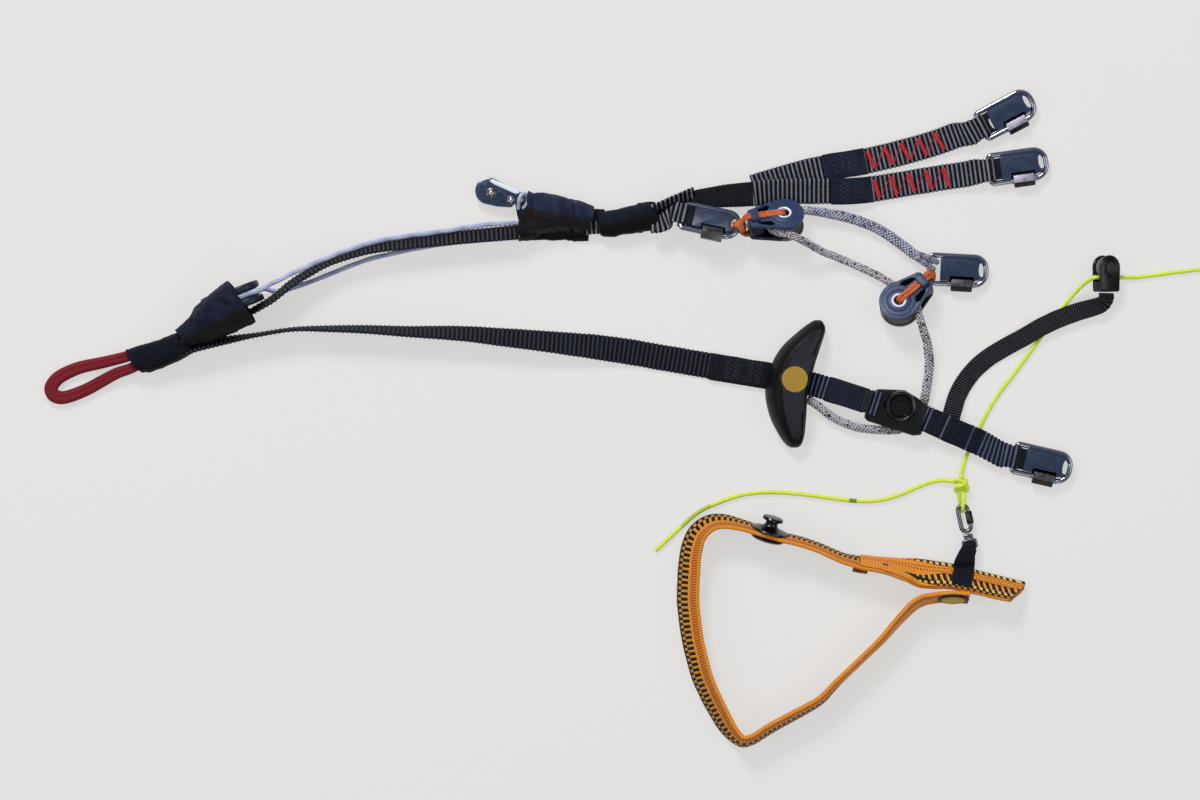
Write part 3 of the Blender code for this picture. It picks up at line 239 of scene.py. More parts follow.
def moulded_plastic(name, colour, rough, grain=0.0005, depth=0.00004, strength=0.4, edge=None, gloss=0.4):
    """Injection-moulded nylon: an even fine texture from the tool, a little rubbed in patches."""
    material, tree, shader = finish(name, colour, rough, IOR=1.52, Specular_IOR_Level=gloss)
    patch = wear(tree, 0.007)
    rubbed = add(tree, "MapRange", patch, 0.3, 0.7, rough - 0.06, rough + 0.08)
    feed(tree, shader, ("Roughness", rubbed))
    tone = add(tree, "Mix", patch, linear(colour), linear(edge or colour), data_type="RGBA")
    feed(tree, shader, ("Base Color", tone))
    bump = add(tree, "Bump", ("Height", wear(tree, grain, 2.0)), ("Strength", strength),
        ("Distance", depth))
    feed(tree, shader, ("Normal", bump))
    return material


def polished_steel(name, colour, rough):
    """Stainless steel wire and nuts, tumbled and polished: sharp highlights, faint handling marks."""
    material, tree, shader = finish(name, colour, rough, Metallic=1.0)
    patch = add(tree, "MapRange", wear(tree, 0.0025), 0.3, 0.75, rough * 0.7, rough * 1.8)
    feed(tree, shader, ("Roughness", patch))
    bump = add(tree, "Bump", ("Height", wear(tree, 0.0012, 2.0)), ("Strength", 0.12),
        ("Distance", 0.00005))
    feed(tree, shader, ("Normal", bump))
    return material


def patterned_webbing(name, ground, rows, rib, fade):
    """Woven two-colour webbing: a ground colour and rows of dashes along it, in mm.

    A row is centre, half width, phase, period, share of the period, slant, colour, and 1 where
    it is missing round one place along the webbing: fade is that place, and how far it is missing.
    """
    material, tree, shader = finish(name, ground, 0.7, Sheen_Weight=0.03, Specular_IOR_Level=0.2)
    along, across = surface_axes(tree)
    first = add(tree, "RGB")
    first.outputs[0].default_value = linear(ground)
    source = first
    away = add(tree, "Math", along, fade[0] * MM, operation="SUBTRACT")
    away = add(tree, "Math", away, operation="ABSOLUTE")
    near = add(tree, "MapRange", away, (fade[1] - 12) * MM, (fade[1] + 12) * MM, -0.1, 1.0)
    for centre, half, phase, period, share, slant, colour, tapers in rows:
        off = add(tree, "Math", across, centre * MM, operation="SUBTRACT")
        reach = add(tree, "Math", off, operation="ABSOLUTE")
        if tapers:
            reach = add(tree, "Math", near, -half * MM, reach, operation="MULTIPLY_ADD")
            edge = 0.0
        else:
            edge = half
        inside = add(tree, "MapRange", reach, (edge + 0.15) * MM, (edge - 0.15) * MM)
        lean = add(tree, "Math", off, slant, phase * MM, operation="MULTIPLY_ADD")
        moved = add(tree, "Math", along, lean, operation="ADD")
        wave = add(tree, "Math", moved, period * MM / 2, operation="PINGPONG")
        dash = add(tree, "MapRange", wave, (1 - share) * period * MM / 2 - 0.00018, (1 - share) * period *
            MM / 2 + 0.0001)
        both = add(tree, "Math", inside, dash, operation="MULTIPLY")
        source = add(tree, "Mix", both, source, linear(colour), data_type="RGBA")
    # Grooves between the ribs are multiplied toward dark brown: painted shade in the grooves.
    wave = add(tree, "Math", along, rib * MM / 2, operation="PINGPONG")
    groove = add(tree, "MapRange", wave, 0.0, 0.4 * rib * MM / 2, 0.6, 0.0)
    source = add(tree, "Mix", groove, source, (0.45, 0.26, 0.14, 1.0), data_type="RGBA",
        blend_type="MULTIPLY")
    feed(tree, shader, ("Base Color", source))
    bump = add(tree, "Bump", ("Height", wear(tree, 0.0004, 1.0)), ("Strength", 0.5), ("Distance", 0.0001))
    feed(tree, shader, ("Normal", bump))
    return material


def sewing_thread(name, colour):
    """Bonded polyester thread: a soft silky light along each stitch."""
    material, tree, shader = finish(name, colour, 0.45, Sheen_Weight=0.05, Specular_IOR_Level=0.3)
    shade = add(tree, "MapRange", wear(tree, 0.0015, 1.0), 0.3, 0.7, 0.75, 1.1)
    tone = add(tree, "VectorMath", linear(colour)[:3], ("Scale", shade), operation="SCALE")
    feed(tree, shader, ("Base Color", tone))
    return material


BLACK_WEB = ribbed_webbing("black polyester webbing, woven", "#050609", "#8f93a2")
C_WEB = ribbed_webbing("black-navy polyester webbing, woven", "#05060b", "#3a3f50")
NAVY_WEB = ribbed_webbing("navy polyester webbing, woven", "#0b101d", "#6a7690")
FINE_WEB = ribbed_webbing("black grosgrain tape, woven", "#07080b", "#4a4c56", 1.36)
PLAIN_WEB = woven_cloth("navy webbing, plain sewn face", "#0c111e", "#1b2440", thread=1.0)
TAB_WEB = woven_cloth("black-navy tape, close woven", "#070a14", "#101830", thread=0.6)
DARK_WEB = woven_cloth("black webbing, plain sewn face", "#06080e", "#151b2a", thread=1.0)
MAIN_WEB = ribbed_webbing("black polyester webbing, long strap", "#040508", "#4b4d5a")
NAVY_CLOTH = woven_cloth("navy coated nylon cloth", "#141a30", "#222d50", under="#151013")
POUCH_CLOTH = woven_cloth("dark navy coated nylon cloth", "#0b1122", "#141e3c", under="#0a080b")
NEOPRENE = woven_cloth("black neoprene, cloth faced", "#0b101c", "#182236", under="#060609", thread=0.9,
    rough=0.9)
COVER_WEB = woven_cloth("black-navy cover webbing, woven", "#070a12", "#111a2c", under="#050509",
    thread=1.1, rough=0.9)
RED_LOOP = braided_cord("crimson braided cord, sewn flat", "#7d0c1e", "#3c040c", 6.0, picks=10)
WHITE_YARN = braid_yarn("white aramid braid", "#d4daf2", "#8d97ba", "#e6eafa", 0.66)
GREY_YARN = braid_yarn("grey aramid rope, braided", "#eae4ea", "#1e191a", "#c8c3d0", 0.55)
SPLICE_YARN = braid_yarn("grey aramid rope, spliced stretch", "#d6d6ea", "#36323c", "#bcc0e2", 0.55)
ORANGE_YARN = braid_yarn("orange dyed cord, braided", "#e8743a", "#8c3010", "#f08a50", 0.62)
YELLOW_LINE = braided_cord("yellow sheathed line, braided", "#e6f550", "#b2c82c", LINE, picks=8)
STEEL = polished_steel("polished stainless steel wire", "#9c9fab", 0.12)
DULL_STEEL = polished_steel("tumbled stainless steel nut", "#a39dab", 0.36)
WORN_STEEL = polished_steel("stainless steel nut, grey-brown", "#5d5c5f", 0.3)
# Dark steel for the link's sleeve, and painted shade on the maillon nuts' shaded facets.
DARK_STEEL = polished_steel("dark stainless steel, painted shade on nut facets", "#3a3433", 0.25)
LINK_STEEL = polished_steel("small steel link, dull", "#77757c", 0.24)
# Near-white steel: the gate is partly its own silver and partly a painted highlight; the hook's rim strip
# is a painted highlight.
GATE_STEEL = moulded_plastic("pale satin steel, partly a painted highlight", "#dfe3f4", 0.3, strength=0.1)
# Its blue-grey tint is a painted reflection of the blue sky over the plate.
PLATE_STEEL = polished_steel("brushed steel plate, tinted as a painted sky reflection", "#4a5872", 0.3)
WASHER_STEEL = polished_steel("brown-grey steel washer, stamped", "#6a5f5e", 0.3)
BLUE_PLASTIC = moulded_plastic("blue-grey nylon, moulded", "#1e2f4e", 0.46, edge="#263c62")
DEEP_PLASTIC = moulded_plastic("blue-black nylon, moulded", "#0c1321", 0.4, edge="#16213a")
KEEPER = moulded_plastic("blue-grey keeper nylon, moulded", "#1c2840", 0.4, edge="#24334f")
GREY_PLASTIC = moulded_plastic("grey acetal, turned", "#73726f", 0.45)
BLACK_GLOSS = moulded_plastic("black nylon, polished tool", "#06070b", 0.24, strength=0.08)
BLACK_GRIP = moulded_plastic("black nylon grip, satin tool", "#030409", 0.5, strength=0.15, gloss=0.16)
# Matt black sheets behind openings: painted shade.
PAINTED_SHADE_BLACK = moulded_plastic("matt black, painted shade in openings", "#020203", 0.9, gloss=0.05)
BLACK_GRAIN = moulded_plastic("black nylon, spark-eroded face", "#1c1f26", 0.5, 0.0007, 0.00012, 0.9,
    "#23262e")
FOLD_WEB = woven_cloth("orange webbing, folded end in its own shade", "#6e3510", "#a5581c", thread=0.9)
RED_THREAD = sewing_thread("red bar-tack thread", "#bb1a2a")
BLACK_THREAD = sewing_thread("black sewing thread", "#050508")
GREY_THREAD = sewing_thread("grey sewing thread", "#2f3444")
BROWN_THREAD = sewing_thread("brown sewing thread", "#2a1206")
LOOP_PATTERN = patterned_webbing("orange and black webbing, woven", "#e5922f",
    [(5.1, 5.3, 0.0, 2.94, 1.0, 0.0, "#0a0809", 1), (0.8, 0.5, 0.0, 2.94, 0.35, 0.0, "#6a4418", 1),
    (3.2, 1.25, 0.0, 2.94, 0.42, 0.0, "#d09a45", 1), (7.6, 3.1, 1.47, 2.94, 0.36, 0.0, "#e39a3a", 1),
    (14.9, 2.7, 0.0, 1.47, 0.46, 0.1, "#93420f", 0)], 1.47, (397.0, 42.0))
END_PATTERN = patterned_webbing("orange and black webbing, sewn end", "#e5922f",
    [(1.5, 1.9, 0.0, 3.36, 1.0, 0.0, "#0d0a08", 1), (1.7, 1.1, 0.0, 3.36, 0.52, 0.35, "#ecc878", 1),
    (5.1, 0.55, 0.0, 1.68, 0.45, 0.35, "#93420f", 0), (7.3, 0.55, 0.84, 1.68, 0.45, 0.35, "#93420f", 0),
    (13.4, 4.8, 0.0, 3.36, 1.0, 0.0, "#0a0809", 1), (11.7, 2.5, 0.0, 3.36, 0.38, 0.3, "#e8a040", 1),
    (15.3, 1.2, 1.68, 3.36, 0.46, 0.3, "#ecc060", 1), (17.6, 0.5, 0.0, 3.36, 0.5, 0.0, "#c08c38", 1)],
    1.68, (140.0, 86.0))


# Shapes

def evened(fine, axes, spacing=None, count=None):
    """Evenly spaced rows along a fine line, measured on its first few axes, and its length."""
    lengths = [0.0]
    for a, b in zip(fine, fine[1:]):
        lengths.append(lengths[-1] + dist(a[:axes], b[:axes]))
    count = count or max(2, round(lengths[-1] / spacing))
    result, at = [], 0
    for k in range(count + 1):
        goal = lengths[-1] * k / count
        while at < len(fine) - 2 and lengths[at + 1] < goal:
            at += 1
        step = lengths[at + 1] - lengths[at]
        share = (goal - lengths[at]) / step if step > 0 else 0.0
        result.append(tuple(a + (b - a) * share for a, b in zip(fine[at], fine[at + 1])))
    return result, lengths[-1]


def smooth_route(points, spacing):
    """Even points on a Catmull-Rom curve through the route; any number of values a point."""
    rows = [tuple(p) for p in points]
    ends = [rows[0]] + rows + [rows[-1]]
    fine = []
    for k in range(len(rows) - 1):
        p0, p1, p2, p3 = ends[k:k + 4]
        steps = max(6, int(dist(p1[:3], p2[:3]) / spacing * 3))
        for s in range(steps):
            t = s / steps
            fine.append(tuple(0.5 * (2 * b + (c - a) * t + (2 * a - 5 * b + 4 * c - d) * t ** 2 +
                (3 * b - a - 3 * c + d) * t ** 3) for a, b, c, d in zip(p0, p1, p2, p3)))
    fine.append(rows[-1])
    return evened(fine, 3, spacing=spacing)[0]


def heading_at(rows, k):
    """Direction of a path at one of its points."""
    return (Vector(rows[min(k + 1, len(rows) - 1)][:3]) - Vector(rows[max(k - 1, 0)][:3])).normalized()


def shown(name, data):
    """A new object in the scene."""
    obj = bpy.data.objects.new(name, data)
    bpy.context.scene.collection.objects.link(obj)
    return obj


def piece(name, mesh, material):
    """A new mesh object with its material."""
    obj = shown(name, mesh)
    if not mesh.materials:
        mesh.materials.append(material)
    return obj


def tidy(mesh, sharp=None):
    """Merge doubles, turn the faces out and shade the mesh smooth."""
    work = bmesh.new()
    work.from_mesh(mesh)
    bmesh.ops.remove_doubles(work, verts=work.verts, dist=1e-6)
    bmesh.ops.recalc_face_normals(work, faces=work.faces)
    work.to_mesh(mesh)
    work.free()
    mesh.shade_smooth()
    if sharp:
        mesh.set_sharp_from_angle(angle=radians(sharp))


def lofted(name, rings, material, closed=False, across=None, marks=None, sharp=None):
    """Rings of points joined by faces, with a UV map in metres: along, and across or round."""
    count = len(rings[0])
    middles = [sum(ring, Vector()) / count for ring in rings]
    along = [0.0]
    for a, b in zip(middles, middles[1:] + middles[:1]):
        along.append(along[-1] + (b - a).length * MM)
    if across is None:
        around = [0.0]
        widest = max(rings, key=lambda ring: (ring[0] - ring[count // 2]).length)
        for i in range(count):
            around.append(around[-1] + (widest[(i + 1) % count] - widest[i]).length)
    else:
        around = list(across) + [across[0]]
    faces, corners = [], []
    for k in range(len(rings) if closed else len(rings) - 1):
        n = (k + 1) % len(rings)
        for i in range(count):
            j = (i + 1) % count
            faces.append((k * count + i, k * count + j, n * count + j, n * count + i))
            u0, u1, v0, v1 = along[k], along[k + 1], around[i] * MM, around[i + 1] * MM
            corners += [(u0, v0), (u0, v1), (u1, v1), (u1, v0)]
    if not closed:
        last = (len(rings) - 1) * count
        faces.append(tuple(range(count)))
        faces.append(tuple(last + i for i in reversed(range(count))))
        corners += [(along[0], around[i] * MM) for i in range(count)]
        corners += [(along[len(rings) - 1], around[i] * MM) for i in reversed(range(count))]
    mesh = bpy.data.meshes.new(name)
    mesh.from_pydata([p * MM for ring in rings for p in ring], [], faces)
    layer = mesh.uv_layers.new(name=UV)
    layer.data.foreach_set("uv", [c for pair in corners for c in pair])
    for key, values in (marks or {}).items():
        mark = mesh.attributes.new(key, "FLOAT", "POINT")
        mark.data.foreach_set("value", [values(k, i) for k in range(len(rings)) for i in range(count)])
    tidy(mesh, sharp)
    return piece(name, mesh, material)


def frames_along(points, first=UP, closed=False):
    """Point, tangent and a normal that turns as little as it can, along a path."""
    points = [Vector(p[:3]) for p in points]
    result, normal = [], Vector(first)
    for k, point in enumerate(points):
        if closed:
            tangent = (points[(k + 1) % len(points)] - points[k - 1]).normalized()
        else:
            tangent = heading_at(points, k)
        normal = (normal - tangent * normal.dot(tangent)).normalized()
        result.append((point, tangent, normal))
    return result


def tube(name, points, diameter, material, count=12, closed=False, fatness=None, marks=None):
    """A round cord or wire along points, its open ends domed."""
    rows = frames_along(points, closed=closed)
    fat = list(fatness) if fatness else [1.0] * len(rows)
    if not closed:
        for end, step in ((0, 1), (-1, -1)):
            point, tangent, normal = rows[end]
            away = -tangent if end == 0 else tangent
            extra = [(point + away * diameter * 0.22, tangent, normal),
                (point + away * diameter * 0.3, tangent, normal)]
            if end == 0:
                rows = list(reversed(extra)) + rows
                fat = [0.35, 0.78] + fat
            else:
                rows = rows + extra
                fat = fat + [0.78, 0.35]
    rings = []
    for (point, tangent, normal), share in zip(rows, fat):
        side = tangent.cross(normal)
        rings.append([point + (normal * cos(tau * i / count) + side * sin(tau * i / count)) * diameter /
            2 * share for i in range(count)])
    return lofted(name, rings, material, closed=closed, marks=marks)


def circle(radius, count, x=0.0, y=0.0):
    """Even points round a circle."""
    return [(x + radius * cos(tau * k / count), y + radius * sin(tau * k / count)) for k in range(count)]


def arc(centre, radius, start, end, steps):
    """Points on an arc between two angles in degrees."""
    points = []
    for k in range(steps + 1):
        angle = radians(start + (end - start) * k / steps)
        points.append((centre[0] + radius * cos(angle), centre[1] + radius * sin(angle)))
    return points


def prism(name, outline, low, high, material):
    """A flat outline raised between two heights, in its own axes."""
    work = bmesh.new()
    rows = [[work.verts.new((x * MM, y * MM, z * MM)) for x, y in outline] for z in (low, high)]
    work.faces.new(rows[0])
    work.faces.new(rows[1])
    for i in range(len(outline)):
        j = (i + 1) % len(outline)
        work.faces.new((rows[0][i], rows[0][j], rows[1][j], rows[1][i]))
    bmesh.ops.recalc_face_normals(work, faces=work.faces)
    mesh = bpy.data.meshes.new(name)
    work.to_mesh(mesh)
    work.free()
    return piece(name, mesh, material)


def block(name, low, high, material):
    """A box between two corners."""
    outline = [(low[0], low[1]), (high[0], low[1]), (high[0], high[1]), (low[0], high[1])]
    return prism(name, outline, low[2], high[2], material)


def turned(name, profile, material, steps=48):
    """Turn a (radius, height) profile round local Z."""
    rings = []
    for k in range(steps):
        angle = tau * k / steps
        rings.append([Vector((r * cos(angle), r * sin(angle), z)) for r, z in profile])
    return lofted(name, rings, material, closed=True, sharp=40)


def seated(obj, matrix):
    """Put a shape where its matrix says."""
    obj.data.transform(matrix)
    return obj


def evaluated(obj):
    """An object's mesh with its modifiers applied."""
    graph = bpy.context.evaluated_depsgraph_get()
    return bpy.data.meshes.new_from_object(obj.evaluated_get(graph), preserve_all_data_layers=True,
        depsgraph=graph)


def settled(obj, matrix=None):
    """Apply an object's modifiers and put its place into its mesh."""
    mesh = evaluated(obj)
    mesh.name = obj.name
    obj.modifiers.clear()
    obj.data = mesh
    if matrix is not None:
        mesh.transform(matrix)
    return obj


def carve(obj, *cutters, operation="DIFFERENCE"):
    """Cut an object by others, which are used up."""
    for cutter in cutters:
        modifier = obj.modifiers.new("cut", "BOOLEAN")
        modifier.operation = operation
        modifier.solver = "EXACT"
        modifier.object = cutter
    settled(obj)
    for cutter in cutters:
        bpy.data.objects.remove(cutter)
    return obj


def rounded(obj, width, matrix=None, segments=3, limit=32):
    """Round an object's edges as its mould does, then settle it."""
    bevel = obj.modifiers.new("edges", "BEVEL")
    bevel.width = width * MM
    bevel.segments = segments
    bevel.limit_method = "ANGLE"
    bevel.angle_limit = radians(limit)
    settled(obj, matrix)
    obj.data.shade_smooth()
    obj.data.set_sharp_from_angle(angle=radians(50))
    return obj


def joined(name, *parts):
    """Several shapes as one object; each keeps its material."""
    parts = [p for p in parts if p]
    with bpy.context.temp_override(active_object=parts[0], object=parts[0], selected_objects=parts,
            selected_editable_objects=parts):
        bpy.ops.object.join()
    parts[0].name = name
    return parts[0]


def keep(obj, slot, *nodes, body=SET):
    """Seat a finished piece on its body, in place of its CAD nodes. The slot is not used."""
    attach(obj, body)
    if nodes:
        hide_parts(*nodes)
    return obj


def placed(x, y, z, heading, pitch=0.0, roll=0.0):
    """Matrix of a piece whose local X points along its heading, in metres."""
    turn = (Matrix.Rotation(radians(heading), 4, "Z") @ Matrix.Rotation(radians(-pitch), 4,
        "Y") @ Matrix.Rotation(radians(roll), 4, "X"))
    return Matrix.Translation(Vector((x, y, z)) * MM) @ turn


def in_mm(matrix):
    """A matrix with its place in millimetres."""
    copy = matrix.copy()
    copy.translation = matrix.translation / MM
    return copy


def tilted_frame(centre, tilt, tilt_heading, head_heading):
    """Axes of a pulley: local X to its head, local Z its axle, leaning toward a heading."""
    lean, toward, heading = radians(tilt), radians(tilt_heading), radians(head_heading)
    axle = Vector((cos(toward) * sin(lean), sin(toward) * sin(lean), cos(lean)))
    drop = tan(lean) * cos(heading - toward)
    head = Vector((cos(heading), sin(heading), -drop)).normalized()
    matrix = Matrix((head, axle.cross(head), axle)).transposed().to_4x4()
    matrix.translation = Vector(centre) * MM
    return matrix


# Trees of Geometry Nodes

def new_tree(name, inputs):
    """An empty tree with a geometry in and out and named inputs; returns it with its ends."""
    tree = bpy.data.node_groups.new(name, "GeometryNodeTree")
    tree.interface.new_socket("Geometry", in_out="INPUT", socket_type="NodeSocketGeometry")
    for key, kind in inputs:
        tree.interface.new_socket(key, in_out="INPUT", socket_type=kind)
    tree.interface.new_socket("Geometry", in_out="OUTPUT", socket_type="NodeSocketGeometry")
    return tree, tree.nodes.new("NodeGroupInput"), tree.nodes.new("NodeGroupOutput")


def end_tree(tree, start, end, geometry):
    """Close a tree: instances made real, then its finish."""
    real = add(tree, "GeometryNodeRealizeInstances", geometry)
    smooth = add(tree, "GeometryNodeSetShadeSmooth", real)
    coat = add(tree, "GeometryNodeSetMaterial", smooth, ("Material", start.outputs["Finish"]))
    feed(tree, end, coat)


def rib_tree():
    """Raises the ribs of webbing along its faces, by each point's distance along it."""
    tree, start, end = new_tree("webbing ribs", (("Rib spacing", "NodeSocketFloat"),
        ("Rib height", "NodeSocketFloat"), ("Finish", "NodeSocketMaterial")))
    along = add(tree, "GeometryNodeInputNamedAttribute", ("Name", "along"), data_type="FLOAT")
    share = add(tree, "GeometryNodeInputNamedAttribute", ("Name", "ribbed"), data_type="FLOAT")
    half = add(tree, "Math", start.outputs["Rib spacing"], 0.5, operation="MULTIPLY")
    wave = add(tree, "Math", along, half, operation="PINGPONG")
    part = add(tree, "Math", wave, half, operation="DIVIDE")
    crest = add(tree, "MapRange", part, 0.25, 0.8, -0.6, 0.4, interpolation_type="SMOOTHSTEP")
    lift = add(tree, "Math", crest, start.outputs["Rib height"], operation="MULTIPLY")
    lift = add(tree, "Math", lift, share, operation="MULTIPLY")
    out = add(tree, "GeometryNodeInputNormal")
    move = add(tree, "VectorMath", out, ("Scale", lift), operation="SCALE")
    moved = add(tree, "GeometryNodeSetPosition", start, ("Offset", move))
    end_tree(tree, start, end, moved)
    return tree


def stitch_tree():
    """Lays one long bead of thread at each point, turned by its run and its face."""
    tree, start, end = new_tree("stitches", (("Thread", "NodeSocketFloat"),
        ("Finish", "NodeSocketMaterial")))
    run = add(tree, "GeometryNodeInputNamedAttribute", ("Name", "run"), data_type="FLOAT_VECTOR")
    face = add(tree, "GeometryNodeInputNamedAttribute", ("Name", "face"), data_type="FLOAT_VECTOR")
    bead = add(tree, "GeometryNodeMeshUVSphere", ("Segments", 6), ("Rings", 4), ("Radius", 0.5))
    turn = add(tree, "FunctionNodeAlignRotationToVector", ("Vector", run), axis="X")
    turn = add(tree, "FunctionNodeAlignRotationToVector", ("Rotation", turn), ("Vector", face), axis="Z",
        pivot_axis="X")
    reach = add(tree, "VectorMath", run, operation="LENGTH")
    low = add(tree, "Math", start.outputs["Thread"], 0.75, operation="MULTIPLY")
    size = add(tree, "CombineXYZ", reach.outputs["Value"], start.outputs["Thread"], low)
    laid = add(tree, "GeometryNodeInstanceOnPoints", start, ("Instance", bead), ("Rotation", turn),
        ("Scale", size))
    end_tree(tree, start, end, laid)
    return tree


def braid_tree():
    """Braids yarns round a path: half of them wind each way, over and under in turn."""
    tree, start, end = new_tree("braid", (("Yarns", "NodeSocketInt"), ("Radius", "NodeSocketFloat"),
        ("Yarn", "NodeSocketFloat"), ("Pitch", "NodeSocketFloat"), ("Step", "NodeSocketFloat"),
        ("Finish", "NodeSocketMaterial")))
    even = add(tree, "GeometryNodeResampleCurve", start, ("Length", start.outputs["Step"]), mode="LENGTH")
    many = add(tree, "GeometryNodeDuplicateElements", even, ("Amount", start.outputs["Yarns"]),
        domain="SPLINE")
    index = many.outputs["Duplicate Index"]
    way = add(tree, "Math", index, 2.0, operation="MODULO")
    way = add(tree, "Math", way, 2.0, -1.0, operation="MULTIPLY_ADD")
    length = add(tree, "GeometryNodeSplineParameter").outputs["Length"]
    turns = add(tree, "Math", length, start.outputs["Pitch"], operation="DIVIDE")
    wound = add(tree, "Math", turns, tau, operation="MULTIPLY")
    pair = add(tree, "Math", start.outputs["Yarns"], 0.5, operation="MULTIPLY")
    seat = add(tree, "Math", index, 0.5, operation="MULTIPLY")
    seat = add(tree, "Math", seat, operation="FLOOR")
    seat = add(tree, "Math", seat, pair, operation="DIVIDE")
    seat = add(tree, "Math", seat, tau, operation="MULTIPLY")
    angle = add(tree, "Math", wound, way, seat, operation="MULTIPLY_ADD")
    weave = add(tree, "Math", wound, pair, operation="MULTIPLY")
    weave = add(tree, "Math", weave, operation="COSINE")
    over = add(tree, "Math", weave, way, operation="MULTIPLY")
    weave = add(tree, "Math", over, start.outputs["Yarn"], operation="MULTIPLY")
    reach = add(tree, "Math", weave, 0.75, start.outputs["Radius"], operation="MULTIPLY_ADD")
    fat = add(tree, "GeometryNodeInputRadius")
    reach = add(tree, "Math", reach, fat, operation="MULTIPLY")
    normal = add(tree, "GeometryNodeInputNormal")
    tangent = add(tree, "GeometryNodeInputTangent")
    side = add(tree, "VectorMath", tangent, normal, operation="CROSS_PRODUCT")
    moves = []
    for axis, operation in ((normal, "COSINE"), (side, "SINE")):
        wave = add(tree, "Math", angle, operation=operation)
        wave = add(tree, "Math", wave, reach, operation="MULTIPLY")
        moves.append(add(tree, "VectorMath", axis, ("Scale", wave), operation="SCALE"))
    move = add(tree, "VectorMath", moves[0], moves[1], operation="ADD")
    number = add(tree, "Math", index, 1.0, operation="ADD")
    named = add(tree, "GeometryNodeStoreNamedAttribute", many, ("Name", "yarn"), ("Value", number),
        data_type="FLOAT", domain="POINT")
    named = add(tree, "GeometryNodeStoreNamedAttribute", named, ("Name", "over"), ("Value", over),
        data_type="FLOAT", domain="POINT")
    moved = add(tree, "GeometryNodeSetPosition", named, ("Offset", move))
    thread = add(tree, "GeometryNodeCurvePrimitiveCircle", ("Resolution", 5),
        ("Radius", start.outputs["Yarn"]))
    yarns = add(tree, "GeometryNodeCurveToMesh", moved, thread, ("Fill Caps", True))
    inner = add(tree, "GeometryNodeCurvePrimitiveCircle", ("Resolution", 8),
        ("Radius", start.outputs["Radius"]))
    core = add(tree, "GeometryNodeCurveToMesh", even, inner, ("Fill Caps", True))
    both = add(tree, "GeometryNodeJoinGeometry", ("Geometry", yarns), ("Geometry", core))
    end_tree(tree, start, end, both)
    return tree


RIBS, STITCHES, BRAID = rib_tree(), stitch_tree(), braid_tree()


def grown(source, tree, **inputs):
    """Run a tree on an object and keep the result as a plain mesh of the same name."""
    modifier = source.modifiers.new("grow", "NODES")
    modifier.node_group = tree
    named = {key.replace("_", " "): value for key, value in inputs.items()}
    for item in tree.interface.items_tree:
        if item.in_out == "INPUT" and item.name in named:
            modifier[item.identifier] = named[item.name]
    mesh = evaluated(source)
    name = source.name
    old = source.data
    bpy.data.objects.remove(source)
    if isinstance(old, bpy.types.Mesh):
        bpy.data.meshes.remove(old)
    else:
        bpy.data.curves.remove(old)
    mesh.name = name
    return piece(name, mesh, None)


def braided(name, points, diameter, material, yarns=16, pitch=None, fatness=None, closed=False,
        step=None):
    """A braid with real yarns along points in millimetres."""
    curve = bpy.data.curves.new(name, "CURVE")
    curve.dimensions = "3D"
    spline = curve.splines.new("POLY")
    spline.points.add(len(points) - 1)
    for k, point in enumerate(points):
        spline.points[k].co = (point[0] * MM, point[1] * MM, point[2] * MM, 1.0)
        spline.points[k].radius = fatness[k] if fatness else 1.0
    spline.use_cyclic_u = closed
    source = shown(name, curve)
    yarn = pi * diameter / yarns * 0.55
    radius = diameter / 2 - yarn * 1.25
    return grown(source, BRAID, Yarns=yarns, Radius=radius * MM, Yarn=yarn * MM,
        Pitch=(pitch or diameter * 3.2) * MM, Step=(step or diameter * 0.19) * MM, Finish=material)


def stitched(name, marks, thread, material):
    """Stitches from (place, run, face) rows in millimetres."""
    mesh = bpy.data.meshes.new(name)
    mesh.from_pydata([Vector(place) * MM for place, run, face in marks], [], [])
    for key, column in (("run", 1), ("face", 2)):
        values = mesh.attributes.new(key, "FLOAT_VECTOR", "POINT")
        scale = MM if key == "run" else 1.0
        values.data.foreach_set("vector", [c * scale for mark in marks for c in mark[column]])
    return grown(shown(name, mesh), STITCHES, Thread=thread * MM, Finish=material)


# Webbing

# Half of a webbing's section: share of its half width and of its half thickness
SELVEDGE = [(-1.0, 0.0), (-0.985, 0.62), (-0.93, 0.95), (-0.72, 1.0), (-0.45, 0.97), (-0.15, 1.0),
    (0.15, 1.0), (0.45, 0.97), (0.72, 1.0), (0.93, 0.95), (0.985, 0.62), (1.0, 0.0)]
SECTION = SELVEDGE + [(a, -b) for a, b in reversed(SELVEDGE[1:-1])]


def web_height(roll, lift, width, thick):
    """Height of a rolled strap's middle over the table."""
    turn = radians(roll)
    return lift + width / 2 * abs(sin(turn)) + thick / 2 * abs(cos(turn))


def web_stations(route, width, thick, spacing=6.0):
    """Centre, side vector, width and thickness along a route of x, y, roll, lift."""
    rows = smooth_route([(x, y, web_height(roll, lift, width, thick), roll) for x, y, roll, lift in
        route], spacing)
    stations = []
    for k, (x, y, z, roll) in enumerate(rows):
        along = heading_at(rows, k)
        left = UP.cross(along).normalized()
        upward = along.cross(left)
        turn = radians(roll)
        stations.append((Vector((x, y, z)), cos(turn) * left + sin(turn) * upward, width, thick))
    return stations


